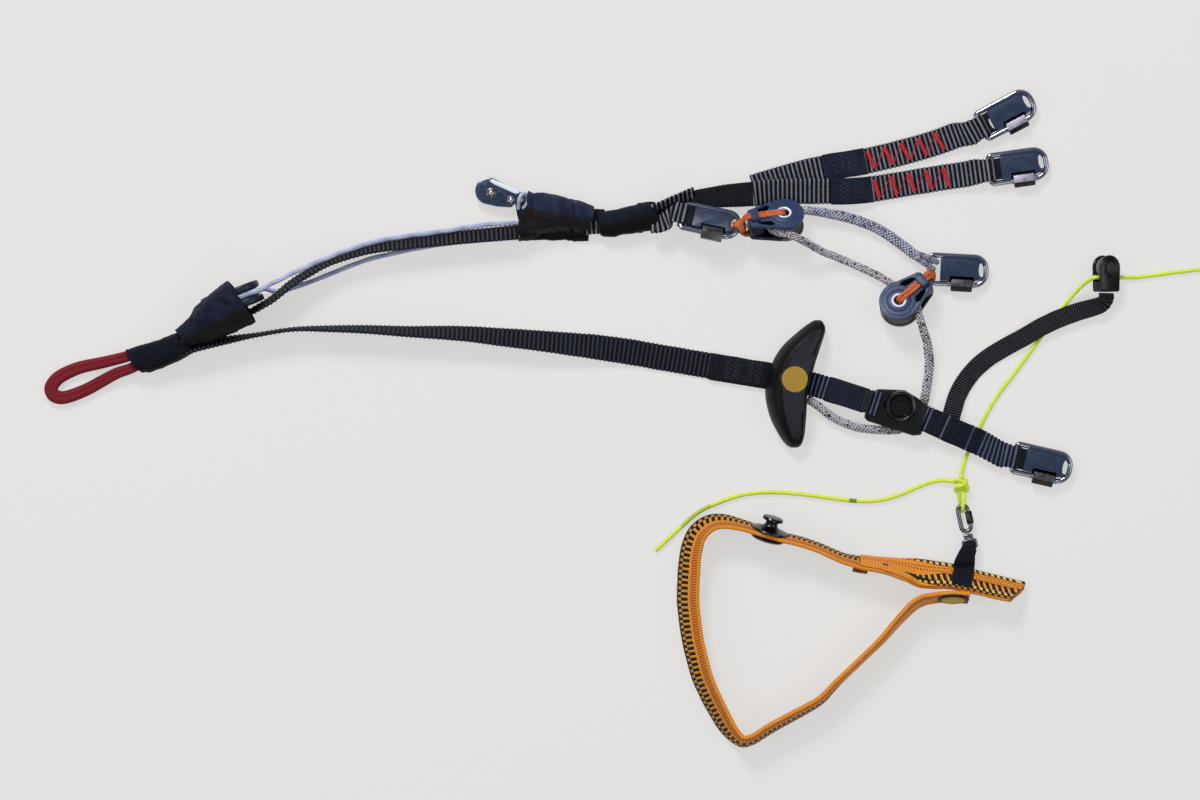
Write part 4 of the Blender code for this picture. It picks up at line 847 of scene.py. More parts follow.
def eye_stations(matrix):
    """Stations that carry webbing over, round and back under a maillon's end bar."""
    reach = WIRE / 2 + GAP + WEB_SINGLE / 2
    side = (matrix.to_3x3() @ Vector((0, 1, 0))).normalized()
    places = [(-7.4, 0.35, WEB_DOUBLE, 13.8), (-4.8, 0.85, WEB_DOUBLE * 0.8, 13.0)]
    for angle in (140, 110, 80, 50, 20, -10, -40, -70, -100, -125):
        turn = radians(angle)
        places.append((reach * cos(turn), reach * sin(turn), WEB_SINGLE, 12.1))
    return [(matrix @ Vector((-HALF_LENGTH + x, 0, z)), side, width, thick) for x, z, thick, width in
        places]


def fine_stations(stations, spacing=STATION):
    """Closely spaced stations with their face vector, on the same smooth line."""
    rows = smooth_route([(*c, *s, w, t) for c, s, w, t in stations], spacing)
    result = []
    for k, row in enumerate(rows):
        centre, side = Vector(row[:3]), Vector(row[3:6]).normalized()
        along = heading_at(rows, k)
        result.append((centre, side, along.cross(side).normalized(), row[6], row[7]))
    return result


def laid(route, width, thick, spacing=6.0):
    """Fine stations of webbing laid along a route of x, y, roll, lift."""
    return fine_stations(web_stations(route, width, thick, spacing))


def nearest(fine, x, y):
    """Number of the station that is nearest a place in plan."""
    return min(range(len(fine)), key=lambda k: dist(fine[k][0][:2], (x, y)))


def strap(name, fine, material, spacing=RIB_SPACING, height=RIB_HEIGHT, plain=(), seed=0.0, wobble=0.16,
        cut=lambda a: 0):
    """Webbing along fine stations: rounded selvedges, real ribs, plain between given stations.

    Its first end is cut back by a number of stations for each share across, from -1 to 1.
    """
    rings, ribbed = [], []
    for k in range(len(fine)):
        shift = noise.noise(Vector((k * 0.035, seed, 0.0))) * wobble
        swell = 1.0 + noise.noise(Vector((k * 0.05, seed + 9.0, 0.0))) * wobble * 0.12
        ring = []
        for a, h in SECTION:
            centre, side, face, width, thick = fine[max(k, round(cut(a)))]
            ring.append(centre + side * (a * width / 2 * swell + shift) + face * (h * thick / 2))
        rings.append(ring)
        ribbed.append(0.0 if any(low <= k <= high for low, high in plain) else 1.0)
    widest = max(row[3] for row in fine)
    across = [(a + 1) * widest / 2 for a, h in SECTION]
    along = [0.0]
    for a, b in zip(fine, fine[1:]):
        along.append(along[-1] + (b[0] - a[0]).length * MM)
    obj = lofted(name, rings, material, across=across,
        marks={"along": lambda k, i: along[k], "ribbed": lambda k, i: ribbed[k]})
    return grown(obj, RIBS, Rib_spacing=spacing * MM, Rib_height=height * MM, Finish=material)


def on_strap(fine, k, across, lift=0.0):
    """A place on a strap's top face, with its along, side and face vectors."""
    k = max(0, min(len(fine) - 1, int(k)))
    centre, side, face, width, thick = fine[k]
    along = side.cross(face)
    return centre + side * across + face * (thick / 2 + lift), along, side, face


def layer(name, fine, low, high, width, thick, material, height=0.0, spacing=RIB_SPACING,
        cut=lambda a: 0):
    """A strip of webbing sewn on a strap's top face between two stations."""
    rows = []
    for k in range(low, high + 1):
        centre, side, face, _, under = fine[k]
        rows.append((centre + face * (under / 2 + thick / 2 - 0.05), side, face, width, thick))
    return strap(name, rows, material, spacing, height, seed=low * 0.1, cut=cut)


def satin_zigzag(fine, start, bars, period, half, lean, wide, step=0.42):
    """Rows of red satin bars across a strap, joined by thin slanting runs."""
    marks = []
    for n in range(bars):
        top = start + n * period
        count = int(2 * half / step)
        for c in range(count + 1):
            share = c / count
            across = half - 2 * half * share
            k = (top + lean * share) / STATION
            place, along, side, face = on_strap(fine, k, across, 0.32)
            marks.append((place, (along * 1.0 + side * 0.18).normalized() * wide, face))
        if n == bars - 1:
            break
        rise = (period - lean - wide * 0.5)
        for c in range(9):
            share = (c + 0.5) / 9
            k = (top + lean + wide * 0.3 + rise * share) / STATION
            place, along, side, face = on_strap(fine, k, -half + 2 * half * share, 0.24)
            marks.append((place + along * 0.3 * sin(c * 1.9), (along * rise + side * 2 * half) / 9 * 1.3,
                face))
    return marks


def sewn_zigzag(fine, centre, half, spread, pitch, lift=0.12):
    """A zigzag seam that runs across a strap at one place."""
    marks, across, way = [], -half, 1
    while across < half:
        for s in range(3):
            t = (s + 0.5) / 3
            k = (centre + way * spread * (t - 0.5)) / STATION
            place, along, side, face = on_strap(fine, k, across + pitch * t, lift)
            run = (along * way * spread + side * pitch).normalized() * (spread / 3 * 1.15)
            marks.append((place, run, face))
        across += pitch
        way = -way
    return marks


def seam(points, stitch, face, gap=0.45):
    """A straight run of stitches along points."""
    rows = smooth_route(points, stitch)
    marks = []
    for a, b in zip(rows, rows[1:]):
        a, b = Vector(a[:3]), Vector(b[:3])
        marks.append(((a + b) / 2, (b - a) * (1 - gap * 0.5), face))
    return marks


# Stage

VIEW_CENTRE = (10.3, 9.45)
SENSOR = 36.0
CAMERA_HEIGHT = 3000.0
FRAME_WIDTH = 648.0


def make_stage():
    """Camera, light table, sky and lamps."""
    data = bpy.data.cameras.new("camera")
    data.sensor_width = SENSOR
    data.lens = SENSOR * CAMERA_HEIGHT / FRAME_WIDTH
    data.clip_start, data.clip_end = 0.1, 20.0
    camera = shown("camera", data)
    camera.location = (VIEW_CENTRE[0] * MM, VIEW_CENTRE[1] * MM, CAMERA_HEIGHT * MM)
    bpy.context.scene.camera = camera

    # Opal acrylic light table: its own even glow leaves only a faint shade under the pieces.
    table, tree, shader = finish("opal acrylic light table", "#7f7e7d", 0.85, Specular_IOR_Level=0.1)
    tone = add(tree, "Mix", wear(tree, 0.5), linear("#807f7e"), linear("#7d7c7b"), data_type="RGBA")
    feed(tree, shader, ("Base Color", tone))
    shader.inputs["Emission Color"].default_value = (1.0, 0.985, 0.965, 1.0)
    shader.inputs["Emission Strength"].default_value = 0.57
    mesh = bpy.data.meshes.new("floor")
    mesh.from_pydata([(-4, -4, 0), (4, -4, 0), (4, 4, 0), (-4, 4, 0)], [], [(0, 1, 2, 3)])
    piece("floor", mesh, table)

    # Cool light from above and a dark horizon, so that round metal shows dark sides.
    world = bpy.data.worlds.new("studio")
    world.use_nodes = True
    sky = world.node_tree
    where = add(sky, "TexCoord")
    parts = add(sky, "SeparateXYZ", where.outputs["Generated"])
    glow = add(sky, "MapRange", parts.outputs[2], 0.05, 0.75, 0.04, 0.32)
    ground = sky.nodes["Background"]
    ground.inputs["Color"].default_value = (0.86, 0.93, 1.0, 1.0)
    feed(sky, ground, ("Strength", glow))
    bpy.context.scene.world = world
    for name, place, size, power in (("key", (-0.5, 1.65, 1.6), 0.6, 38.0),
            ("left", (-1.9, -0.3, 1.7), 1.2, 12.0), ("right", (1.9, 0.2, 1.8), 1.2, 10.0),
            ("front", (0.3, -1.8, 1.8), 1.2, 7.0)):
        lamp = bpy.data.lights.new(name, "AREA")
        lamp.size = size
        lamp.energy = power
        obj = shown(name, lamp)
        obj.location = place
        obj.rotation_euler = (-Vector(place)).to_track_quat("-Z", "Y").to_euler()
    bpy.context.scene.view_settings.view_transform = "Standard"


MAILLONS = {"a": placed(229.5, 163.9, 3.7, 28.0), "a2": placed(235.6, 135.6, 3.7, 8.0),
    "b": placed(69.7, 105.8, 11.0, -12.0, pitch=3.0, roll=-28.0), "bc": placed(203.2, 79.4, 3.7, -3.0),
    "c": placed(248.6, -24.8, 3.7, -13.0),}
PULLEY_ONE = tilted_frame((109.2, 106.2, 11.3), 42.0, 90.0, 188.0)
PULLEY_TWO = tilted_frame((171.5, 60.8, 10.6), 23.0, 105.0, 39.0)
LINK = placed(206.8, -54.45, 3.8, -78.0)
BRAKE_HUB = (283.0, 80.7, 7.2)
BADGE_CENTRE = (0.115, 0.0206)
SOCKET_CENTRE = (172.3, 6.1)


def brake_frame():
    """Axes of the brake pulley, which leans toward the lines."""
    lean = radians(33.0)
    axle = Vector((sin(lean), 0, cos(lean)))
    head = Vector((0, -1, 0))
    matrix = Matrix((head, axle.cross(head), axle)).transposed().to_4x4()
    matrix.translation = Vector(BRAKE_HUB) * MM
    return matrix


# Cords


def make_free_cords():
    """The yellow brake line with its end loop, and the tail that hangs from its knot."""
    matrix = in_mm(brake_frame())
    inside = [tuple(matrix @ Vector((5.3, t, 0))) for t in (-8.0, -5.0, -2.0, 2.0, 5.0, 8.0)]
    if inside[0][0] > inside[-1][0]:
        inside.reverse()
    down = [(273.4, 73.8, 9.4), (268.6, 69.6, 5.4), (261.8, 61.5, 1.6), (254.0, 51.4, 1.2),
        (247.6, 42.4, 1.2), (241.1, 33.5, 1.2), (232.8, 22.2, 1.2), (225.2, 12.4, 1.2), (219.2, 2.4, 1.2),
        (215.2, -5.9, 1.2), (209.0, -18.8, 1.2), (206.0, -27.1, 1.8), (205.2, -31.8, 2.6)]
    out = [(292.6, 75.6, 1.8), (297.0, 75.7, 1.2), (301.9, 75.9, 1.2), (318.1, 78.0, 1.2),
        (334.3, 80.0, 1.2), (340.0, 80.7, 1.2)]
    route = smooth_route(list(reversed(down)) + inside + out, 1.0)
    line = tube("brake_line_cord", route, LINE, YELLOW_LINE, 14)
    keep(line, "cord_yellow", "brake_line")
    loop = [(341.6, 80.9), (346.0, 83.4), (351.5, 84.6), (355.5, 83.6), (357.0, 81.8), (355.6, 79.8),
        (351.6, 79.0), (346.4, 79.6), (341.6, 80.9)]
    end = tube("brake_line_eye", smooth_route([(x, y, 1.2) for x, y in loop], 0.8)[:-1], LINE,
        YELLOW_LINE, 12, closed=True)
    keep(end, "cord_yellow", "brake_line_end")

    tail = [(201.1, -34.8, 3.0), (197.5, -34.0, 2.2), (191.0, -34.4, 1.3), (183.1, -37.0, 1.2),
        (172.3, -41.6, 1.2), (161.5, -44.6, 1.2), (150.7, -45.2, 1.2), (134.5, -43.5, 1.2),
        (118.3, -41.3, 1.2), (102.1, -40.3, 1.2), (88.6, -41.5, 1.2), (77.8, -44.6, 1.2),
        (64.0, -50.8, 1.2), (52.2, -60.8, 1.2), (40.6, -71.6, 1.2)]
    route = smooth_route(tail, 1.0)
    count = len(route) + 4

    def stain(k, i):
        x = route[max(0, min(len(route) - 1, k - 2))][0]
        if 144.8 < x < 149.0:
            return 0.75
        return 0.32 if 54.0 < x < 70.5 else 0.0
    loose = tube("brake_tail_cord", route, LINE, YELLOW_LINE, 14, marks={"under": stain})
    keep(loose, "cord_yellow", "brake_tail")


def make_knot():
    """Overhand knot in the yellow line, and the loop through the small link."""
    parts = []
    wraps = []
    for k in range(45):
        t = k / 44
        angle = radians(200 + 900 * t)
        wraps.append((205.2 + 2.2 * cos(angle), -34.0 - 5.6 * t, 3.1 + 1.75 * sin(angle)))
    parts.append(tube("knot_wraps", wraps, LINE, YELLOW_LINE, 12))
    for points in ([(205.3, -32.0, 3.0), (204.6, -35.0, 3.0), (205.4, -38.0, 3.2), (206.2, -41.6, 3.4)],
            [(201.4, -34.6, 3.4), (203.0, -33.6, 5.2), (206.4, -35.0, 5.9), (208.3, -38.0, 4.6),
            (207.6, -39.8, 2.8)], [(202.4, -39.8, 2.6), (202.6, -37.4, 4.9), (205.6, -36.6, 6.1),
            (207.8, -34.6, 4.6), (206.6, -33.2, 2.8)]):
        parts.append(tube("knot_strand", smooth_route(points, 0.5), 2.15, YELLOW_LINE, 12))
    keep(joined("brake_knot_cord", *parts), "cord_yellow", "brake_knot")
    loop = [(206.4, -41.0, 3.6), (206.5, -45.0, 5.4), (206.0, -47.4, 6.2), (205.9, -50.0, 4.8),
        (205.6, -50.4, 3.0), (205.2, -47.4, 1.4), (204.2, -44.5, 1.6), (203.9, -41.0, 2.4)]
    keep(tube("knot_loop_cord", smooth_route(loop, 0.5), 2.1, YELLOW_LINE, 12), "cord_yellow",
        "knot_loop")


def wrap(matrix, radius, start, end, steps):
    """Places on an arc round a wheel's axle."""
    local = in_mm(matrix)
    return [tuple(local @ Vector((x, y, 0))) for x, y in arc((0, 0), radius, start, end, steps)]


def make_control_line():
    """Grey rope from its eye on the BC maillon round both pulleys to the handle."""
    maillon = in_mm(MAILLONS["bc"])
    bar = maillon @ Vector((-HALF_LENGTH, 3.4, 0))
    back = Vector((180.8, 87.6, 4.2))
    toward = Vector((bar.x - back.x, bar.y - back.y, 0)).normalized()
    side = UP.cross(toward)
    strands = []
    for way in (-1, 1):
        rows = [(back + UP * 0.9 + side * way * 1.0, 1.0),
            (back.lerp(bar, 0.5) + UP * 1.6 + side * way * 1.7, 1.0),
            (bar + UP * 2.7 + toward * 0.8 + side * way * 2.1, 1.0),
            (bar + UP * 1.4 + toward * 3.2 + side * way * 2.1, 1.0),
            (bar - UP * 0.8 + toward * 2.9 + side * way * 1.7, 0.75),
            (bar - UP * 2.5 + side * way * 1.3, 0.6), (back.lerp(bar, 0.5) - UP * 2.0 + side * way * 1.2,
            0.7), (back - UP * 0.9 + side * way * 0.9, 0.9)]
        dense = smooth_route([(*place, size) for place, size in rows], 0.6)
        strands.append(braided(f"eye_strand_{way}", [row[:3] for row in dense], 3.1, SPLICE_YARN, 12,
            fatness=[row[3] for row in dense], pitch=8.0))
    keep(joined("control_line_eye_rope", *strands), "cord_grey", "control_line_eye")

    first = [(183.0, 85.9, 4.3), (178.9, 88.6, 4.0), (174.4, 92.1, 3.6), (160.9, 101.4, 3.6),
        (145.5, 107.4, 4.2), (130.0, 110.6, 5.0), (120.5, 111.8, 5.3)]
    low = [(113.1, 97.8, 18.8), (118.4, 95.4, 17.4), (124.0, 92.6, 12.8), (130.0, 89.4, 8.2),
        (138.0, 86.4, 5.0), (147.0, 82.6, 3.4), (156.0, 78.6, 3.0), (163.0, 75.0, 3.8),
        (168.5, 71.5, 5.9)]
    down = [(181.7, 55.3, 14.0), (183.8, 48.6, 12.8), (186.4, 40.4, 8.6), (187.9, 31.0, 4.6),
        (187.4, 22.4, 3.2), (185.0, 8.4, 3.1), (181.6, 1.2, 2.9), (176.2, -4.4, 2.8), (169.7, -6.8, 2.8),
        (156.3, -6.4, 2.9), (146.0, -4.4, 3.0), (135.6, 0.4, 3.1), (128.8, 5.8, 3.5), (122.4, 9.9, 5.0)]
    points = first + wrap(PULLEY_ONE, 9.05, -114, 58, 14) + low + wrap(PULLEY_TWO, 9.05, 23, -30,
        5) + down
    rows = smooth_route(points, 0.8)
    corner = points[6]
    end = min(range(len(rows)), key=lambda k: dist(rows[k][:3], corner))
    fatness = [1.0 + 0.3 * min(1.0, (k + 14) / 24, max(0.0, (end - k) / 24)) for k in range(len(rows))]
    splice = braided("control_line_splice", rows[:end + 1], 4.6, SPLICE_YARN, 14, pitch=13.5,
        fatness=fatness[:end + 1], step=0.6)
    plain = rows[end - 2:]
    ends = [min(range(len(plain)), key=lambda k: dist(plain[k][:3], place)) for place in
        (down[2], down[8], down[-4])]
    sizes = [(0, 1.0), (ends[0] - 20, 1.0), (ends[0] + 8, 1.24), (ends[1] - 24, 1.22), (ends[1], 1.08),
        (ends[2], 1.14), (len(plain), 1.14)]
    fatness = []
    for k in range(len(plain)):
        low_end, high_end = next((a, b) for a, b in zip(sizes, sizes[1:]) if k <= b[0])
        share = (k - low_end[0]) / max(1, high_end[0] - low_end[0])
        fatness.append(low_end[1] + (high_end[1] - low_end[1]) * max(0.0, share))
    plain = braided("control_line_plain", plain, 4.3, GREY_YARN, 12, pitch=11.5, fatness=fatness,
        step=0.6)
    keep(joined("control_line_rope", splice, plain), "cord_grey", "control_line")


def make_lashing(key, matrix, maillon, along_bar, end, lean_kept):
    """Orange cord, doubled: through the hollow axle, over both cheeks, round a maillon bar."""
    local = in_mm(matrix)
    over = PULLEY_HALF + GAP + 0.8
    side = (local.to_3x3() @ Vector((0, 1, 0))).normalized()
    bar = maillon @ Vector((end * HALF_LENGTH, along_bar, 0))
    bar_side = (maillon.to_3x3() @ Vector((0, 1, 0))).normalized()
    if bar_side.dot(side) < 0:
        bar_side = -bar_side
    toward = (maillon.to_3x3() @ Vector((-end, 0, 0))).normalized()
    lift = (maillon.to_3x3() @ Vector((0, 0, 1))).normalized()
    level = (Vector((side.x, side.y, side.z * lean_kept)).normalized() + bar_side).normalized()
    top = [(0.0, 0.0), (0.0, 4.2), (0.25, 5.5), (1.0, 6.4), (2.4, over), (6.0, over), (12.0, over),
        (18.6, over)]
    upper = [(local @ Vector((x, 0, z)), side) for x, z in top]
    upper.append((local @ Vector((21.2, 0, over - 0.3)), level))
    lower = [(local @ Vector((21.0, 0, 0.3 - over)), level)]
    lower += [(local @ Vector((x, 0, -z)), side) for x, z in reversed(top[1:])]
    reach = WIRE / 2 + GAP + 0.8
    turn_round = []
    for angle in (110, 75, 40, 5, -30, -65, -100):
        turn = radians(angle)
        turn_round.append((bar + reach * (cos(turn) * toward + sin(turn) * lift), bar_side))
    stations = upper + turn_round + lower
    strands = []
    for shift in (-1.0, 1.0):
        points = [tuple(centre + across * shift) for centre, across in stations]
        rows = smooth_route(points + points[:1], 0.6)[:-1]
        strands.append(braided(f"{key}_strand_{shift > 0}", rows, 2.0, ORANGE_YARN, 10, closed=True))
    knot = (bar + local @ Vector((21.4, 0, 0))) / 2
    run = (bar - local @ Vector((21.4, 0, 0))).normalized()
    flat = run.cross(UP).normalized()
    for n, (shift, wide) in enumerate(((-1.3, 2.5), (0.4, 2.9), (2.0, 2.4))):
        loop = [tuple(knot + run * (shift + 0.5 * sin(a + n)) + wide * cos(a) * flat + 1.9 * sin(a) *
            run.cross(flat)) for a in [tau * i / 24 for i in range(24)]]
        strands.append(braided(f"{key}_whipping_{n}", loop, 1.9, ORANGE_YARN, 10, closed=True))
    keep(joined(f"{key}_lashing_cord", *strands), "cord_orange", f"{key}_lashing")


def make_speed_line(matrix):
    """White line from the upper sleeve round the lower wheel and back along the strap."""
    radius = 7.0 + GAP + 1.25
    turn = wrap(matrix, radius, -90, 90, 10)
    if turn[0][2] < turn[-1][2]:
        turn.reverse()
    high = [(-30.0, 104.9, 4.0), (-34.4, 104.9, 4.0), (-47.0, 104.4, 3.4), (-59.9, 102.8, 3.4),
        (-77.5, 100.0, 4.1), (-93.0, 98.0, 4.4), (-108.5, 95.4, 4.8), (-116.0, 93.2, 6.2),
        (-124.0, 90.7, 7.8), (-134.4, 86.8, 10.2), (-145.8, 82.0, 12.0), (-158.0, 76.0, 15.0),
        (-170.8, 69.5, 20.6)]
    low = [(-171.5, 69.2, 4.2), (-166.5, 68.4, 2.4), (-161.2, 68.2, 1.5), (-155.0, 70.1, 1.35),
        (-144.7, 73.7, 1.35), (-134.5, 77.8, 1.35), (-124.0, 82.0, 1.35), (-113.7, 85.6, 1.35),
        (-103.4, 88.1, 1.35), (-86.9, 91.6, 1.35), (-66.0, 94.6, 1.35), (-30.0, 97.4, 1.35)]
    rows = smooth_route(high + turn + low, 0.8)
    keep(braided("speed_line_braid", rows, 2.7, WHITE_YARN, 12, pitch=8.0, step=0.7), "cord_white",
        "speed_line")


# Cloth

def at_share(table, share):
    """A value read off (share, value) pairs."""
    for (s0, v0), (s1, v1) in zip(table, table[1:]):
        if share <= s1:
            return v0 + (v1 - v0) * max(0.0, (share - s0)) / (s1 - s0)
    return table[-1][1]


def cloth_section(width, height, power, flange, count):
    """Even places round a cloth tube: share across, height, and 1 on its top side."""
    body = 1 - flange / width
    flat = min(1.0, flange / 3.0)
    top, low = [], []
    for n in range(121):
        u = (1 - cos(pi * n / 120)) / 2
        v = min(1.0, abs(2 * u / body - 1))
        rise = 0.3 * height * (1 - u * flat) + 1.0 * u * flat
        high = rise + (height - rise) * (1 - v ** power) ** (1 / power)
        under = rise * (1 - (1 - v ** 5) ** 0.2)
        if u > body:
            fin = 0.8 * min(1.0, (1 - u) * width / 0.8) ** 0.5
            high, under = max(high, rise + fin), min(under, rise - fin)
        top.append((u * width, high, 1.0))
        low.append((u * width, under, 0.0))
    line = top + low[-2:0:-1] + top[:1]
    rows, girth = evened(line, 2, count=count)
    return [(x / width, z, side) for x, z, side in rows[:-1]], girth


def off_segment(point, crease):
    """How far a point is from a crease in plan, and the crease's depth and reach."""
    x0, y0, x1, y1, depth, reach = crease
    run = Vector((x1 - x0, y1 - y0))
    away = Vector((point.x - x0, point.y - y0))
    share = max(0.0, min(1.0, away.dot(run) / run.length_squared))
    return depth * exp(-((away - run * share).length / reach) ** 2)


def cloth_tube(name, node, sections, material, power=2.4, flange=((0, 0.0), (1, 0.0)),
        wall=0.6, split=((0, 0.5), (1, 0.5)), creases=(), crumple=0.5, size=8.0, hems=(),
        pulls=(None, None), seed=0.0, count=88, spacing=0.75):
    """Thin-walled cloth through sections of left edge, right edge and height, with its seam.

    Split is the seam's share across along the tube. Creases are x, y, x, y, depth and reach.
    Pulls move an open end in or out, by share across.
    """
    rows = smooth_route([(*left, *right, height) for left, right, height in sections], spacing)
    last = len(rows) - 1
    outer, inner, shares, girths, seam_line, hem_line = [], [], [], [], [], []
    for k, (lx, ly, rx, ry, height) in enumerate(rows):
        left, right = Vector((lx, ly, 0)), Vector((rx, ry, 0))
        width = (right - left).length
        across = (right - left) / width
        along = UP.cross(across)
        places, girth = cloth_section(width, height, power, at_share(flange, k / last), count)
        girths.append(girth)
        ring = []
        for u, z, side in places:
            point = left + across * (u * width) + UP * z
            for away, pull in zip((k, last - k), pulls):
                if pull:
                    point += along * at_share(pull, u) * exp(-(away * spacing / 5.0) ** 2)
            ring.append(point)
        sewn = at_share(split, k / last)
        thick = max((0.4 for at, reach in hems if abs(k * spacing - at) < reach), default=0.0)
        out, back = [], []
        for i, point in enumerate(ring):
            u, _, side = places[i]
            normal = (ring[(i + 1) % count] - ring[i - 1]).cross(along).normalized()
            ridge = abs(noise.noise(Vector((point.x, point.y, point.z + seed)) / size))
            fine = noise.noise(Vector((point.x, point.y, point.z - seed)) / (size * 0.35))
            move = crumple * (0.4 - 2.0 * ridge) + crumple * 0.35 * fine + thick
            if side > 0.5 and normal.z > -0.2:
                move -= sum(off_segment(point, crease) for crease in creases)
                move -= 0.5 * exp(-((u - sewn) * width / 0.7) ** 2)
            moved = point + normal * move
            moved.z = max(0.12, moved.z)
            out.append(moved)
            back.append(moved - normal * wall)
        outer.append(out)
        inner.append(back)
        # Under marks the lower side and the cloth past the seam: partly a darker lower panel, partly
        # painted shade.
        shares.append([1.0 if side < 0.5 else max(0.0, min(1.0, (u - sewn) / 0.02 + 0.5)) for u, _,
            side in places])
        best = min((i for i in range(count) if places[i][2] > 0.5),
            key=lambda i: abs(places[i][0] - sewn))
        seam_line.append(tuple(out[best + 1] + UP * 0.15))
        if hems and abs(k * spacing - hems[-1][0] + hems[-1][1] + 0.8) <= spacing / 2:
            hem_line = [tuple(p + UP * 0.15) for p, place in zip(out, places) if place[2] > 0.5]
    rings = outer + list(reversed(inner))
    # The inner wall takes the under colour throughout: painted shade inside the tube.
    shell = lofted(name, rings, material, closed=True,
        marks={"under": lambda k, i: shares[k][i] if k <= last else 1.0})
    keep(shell, "cloth_navy", node)
    marks = seam(seam_line[1:-1], 1.6, UP)
    if hem_line:
        marks += seam(hem_line[2:-2], 1.6, UP)
    thread = keep(stitched(f"{name}_seam", marks, 0.36, BLACK_THREAD), "cloth_navy")


def make_hang_end():
    """Crimson loop of two cords sewn side by side, and the neoprene cover over its splice."""
    route = [(-243.0, 33.6, 4.8, 6.0), (-247.4, 32.2, 4.2, 6.0), (-258.7, 29.5, 2.8, 6.4),
        (-269.0, 27.3, 2.4, 6.8), (-276.5, 24.5, 2.4, 7.2), (-282.4, 21.0, 2.4, 7.4),
        (-285.8, 16.2, 2.4, 7.4), (-284.6, 12.3, 2.4, 7.4), (-280.7, 10.7, 2.4, 7.2),
        (-275.2, 11.7, 2.4, 7.0), (-266.9, 15.0, 2.4, 6.8), (-258.7, 19.4, 2.8, 6.6),
        (-250.4, 23.8, 3.8, 6.2), (-243.9, 26.0, 4.6, 5.8), (-239.6, 28.0, 4.8, 5.8)]
    rows = smooth_route(route, 0.6)
    rings = []
    for k, (x, y, z, width) in enumerate(rows):
        along = heading_at(rows, k)
        side = UP.cross(along).normalized()
        face = along.cross(side)
        ring = []
        for i in range(36):
            angle = tau * i / 36
            lobe = 0.62 + 0.38 * abs(cos(angle)) ** 0.6
            ring.append(Vector((x, y, z)) + side * cos(angle) * width / 2 + face * sin(angle) * 2.3 *
                lobe)
        rings.append(ring)
    keep(lofted("hang_loop_cord", rings, RED_LOOP), "cord_red", "hang_loop")

    cover = [((-246.0, 35.6), (-238.1, 23.6), 9.6), ((-240.0, 38.2), (-231.5, 24.6), 11.6),
        ((-230.5, 41.0), (-223.0, 27.8), 13.4), ((-220.8, 44.6), (-210.4, 34.1), 15.6),
        ((-216.8, 46.4), (-208.6, 38.0), 13.0)]
    cloth_tube("hang_loop_sleeve", "hang_loop_cover", cover, COVER_WEB,
        power=2.8, wall=1.3, split=((0, 0.72), (1, 0.8)),
        creases=((-232, 38, -229, 30, 0.5, 1.6), (-222, 40, -214, 37, 0.7, 1.6)), crumple=0.35, size=7.0,
        hems=((0.6, 1.4),), pulls=(((0, 0.9), (0.25, 0.0), (0.7, 0.0), (1, 1.6)), None))


def make_speed_pouch():
    """Navy pouch, open at its mouth, with the lower speed pulley inside."""
    pouch = [((-218.5, 47.2), (-211.4, 38.3), 17.4), ((-213.6, 51.4), (-203.9, 40.4), 19.0),
        ((-207.9, 59.2), (-194.4, 42.8), 22.5), ((-200.6, 65.6), (-183.9, 47.5), 25.0),
        ((-190.3, 73.7), (-174.7, 51.3), 26.5)]
    cloth_tube("speed_pouch_cloth", "speed_pouch", pouch, POUCH_CLOTH,
        power=2.5, wall=0.8, split=((0, 0.42), (0.25, 0.56), (1, 0.66)),
        creases=((-194.6, 62.6, -189.4, 60.9, 1.8, 1.5), (-208.3, 56.2, -208.7, 49.4, 1.4, 1.1),
        (-203.6, 60.5, -200.5, 50.5, 0.7, 1.3), (-187.0, 68.0, -182.6, 57.5, 0.7, 1.2),
        (-199.0, 57.5, -193.0, 54.5, 0.6, 1.2), (-196.0, 48.0, -183.0, 52.5, 0.8, 1.2)), crumple=0.7,
        size=8.5, hems=((33.5, 2.6),), seed=3.0, pulls=(None,
        ((0, 0.0), (0.2, 0.8), (0.5, 0.9), (0.8, 0.4), (1, -0.4))))

    x, y, z = -182.0, 65.0, 13.0
    heading = radians(22.0)
    along = Vector((cos(heading), sin(heading), 0))
    axle = Vector((-sin(heading), cos(heading), 0))
    matrix = Matrix((-along, axle.cross(-along), axle)).transposed().to_4x4()
    matrix.translation = Vector((x, y, z)) * MM
    outline = arc((0, 0), 10.8, 60, 300, 40) + [(13.0, -5.0), (13.0, 5.0)]
    cheeks = []
    for low, high in ((2.1, 5.6), (-5.6, -2.1)):
        cheek = rounded(prism(f"speed_cheek_{low > 0}", outline, low, high, DEEP_PLASTIC), 0.9, matrix)
        cheeks.append(cheek)
    bridge = rounded(block("speed_bridge", (10.6, -4.8, -2.3), (12.9, 4.8, 2.3), DEEP_PLASTIC), 0.4,
        matrix)
    pin = seated(turned("speed_pin", [(0.01, -4.8), (1.5, -4.8), (1.5, 4.8), (0.01, 4.8)], STEEL, 24),
        matrix)
    keep(joined("speed_pulley_cheeks", *cheeks, bridge, pin), "plastic_blue", "speed_pulley_frame")
    wheel = turned("speed_pulley_wheel", [(1.8, -1.8), (9.2, -1.8), (9.4, -1.6), (7.2, -0.9), (7.0, 0.0),
        (7.2, 0.9), (9.4, 1.6), (9.2, 1.8), (1.8, 1.8)], GREY_PLASTIC, 48)
    keep(seated(wheel, matrix), "plastic_grey", "speed_pulley_sheave", body="speed_wheel")
    tab = [(-217.3, 42.6, -90, 2.6), (-211.5, 48.0, -90, 4.4), (-204.0, 54.2, -90, 6.4),
        (-195.4, 59.5, -90, 8.0)]
    keep(strap("speed_pulley_strap", laid(tab, 10.0, 1.4), BLACK_WEB), "webbing_black",
        "speed_pulley_tab")
    make_speed_line(matrix)


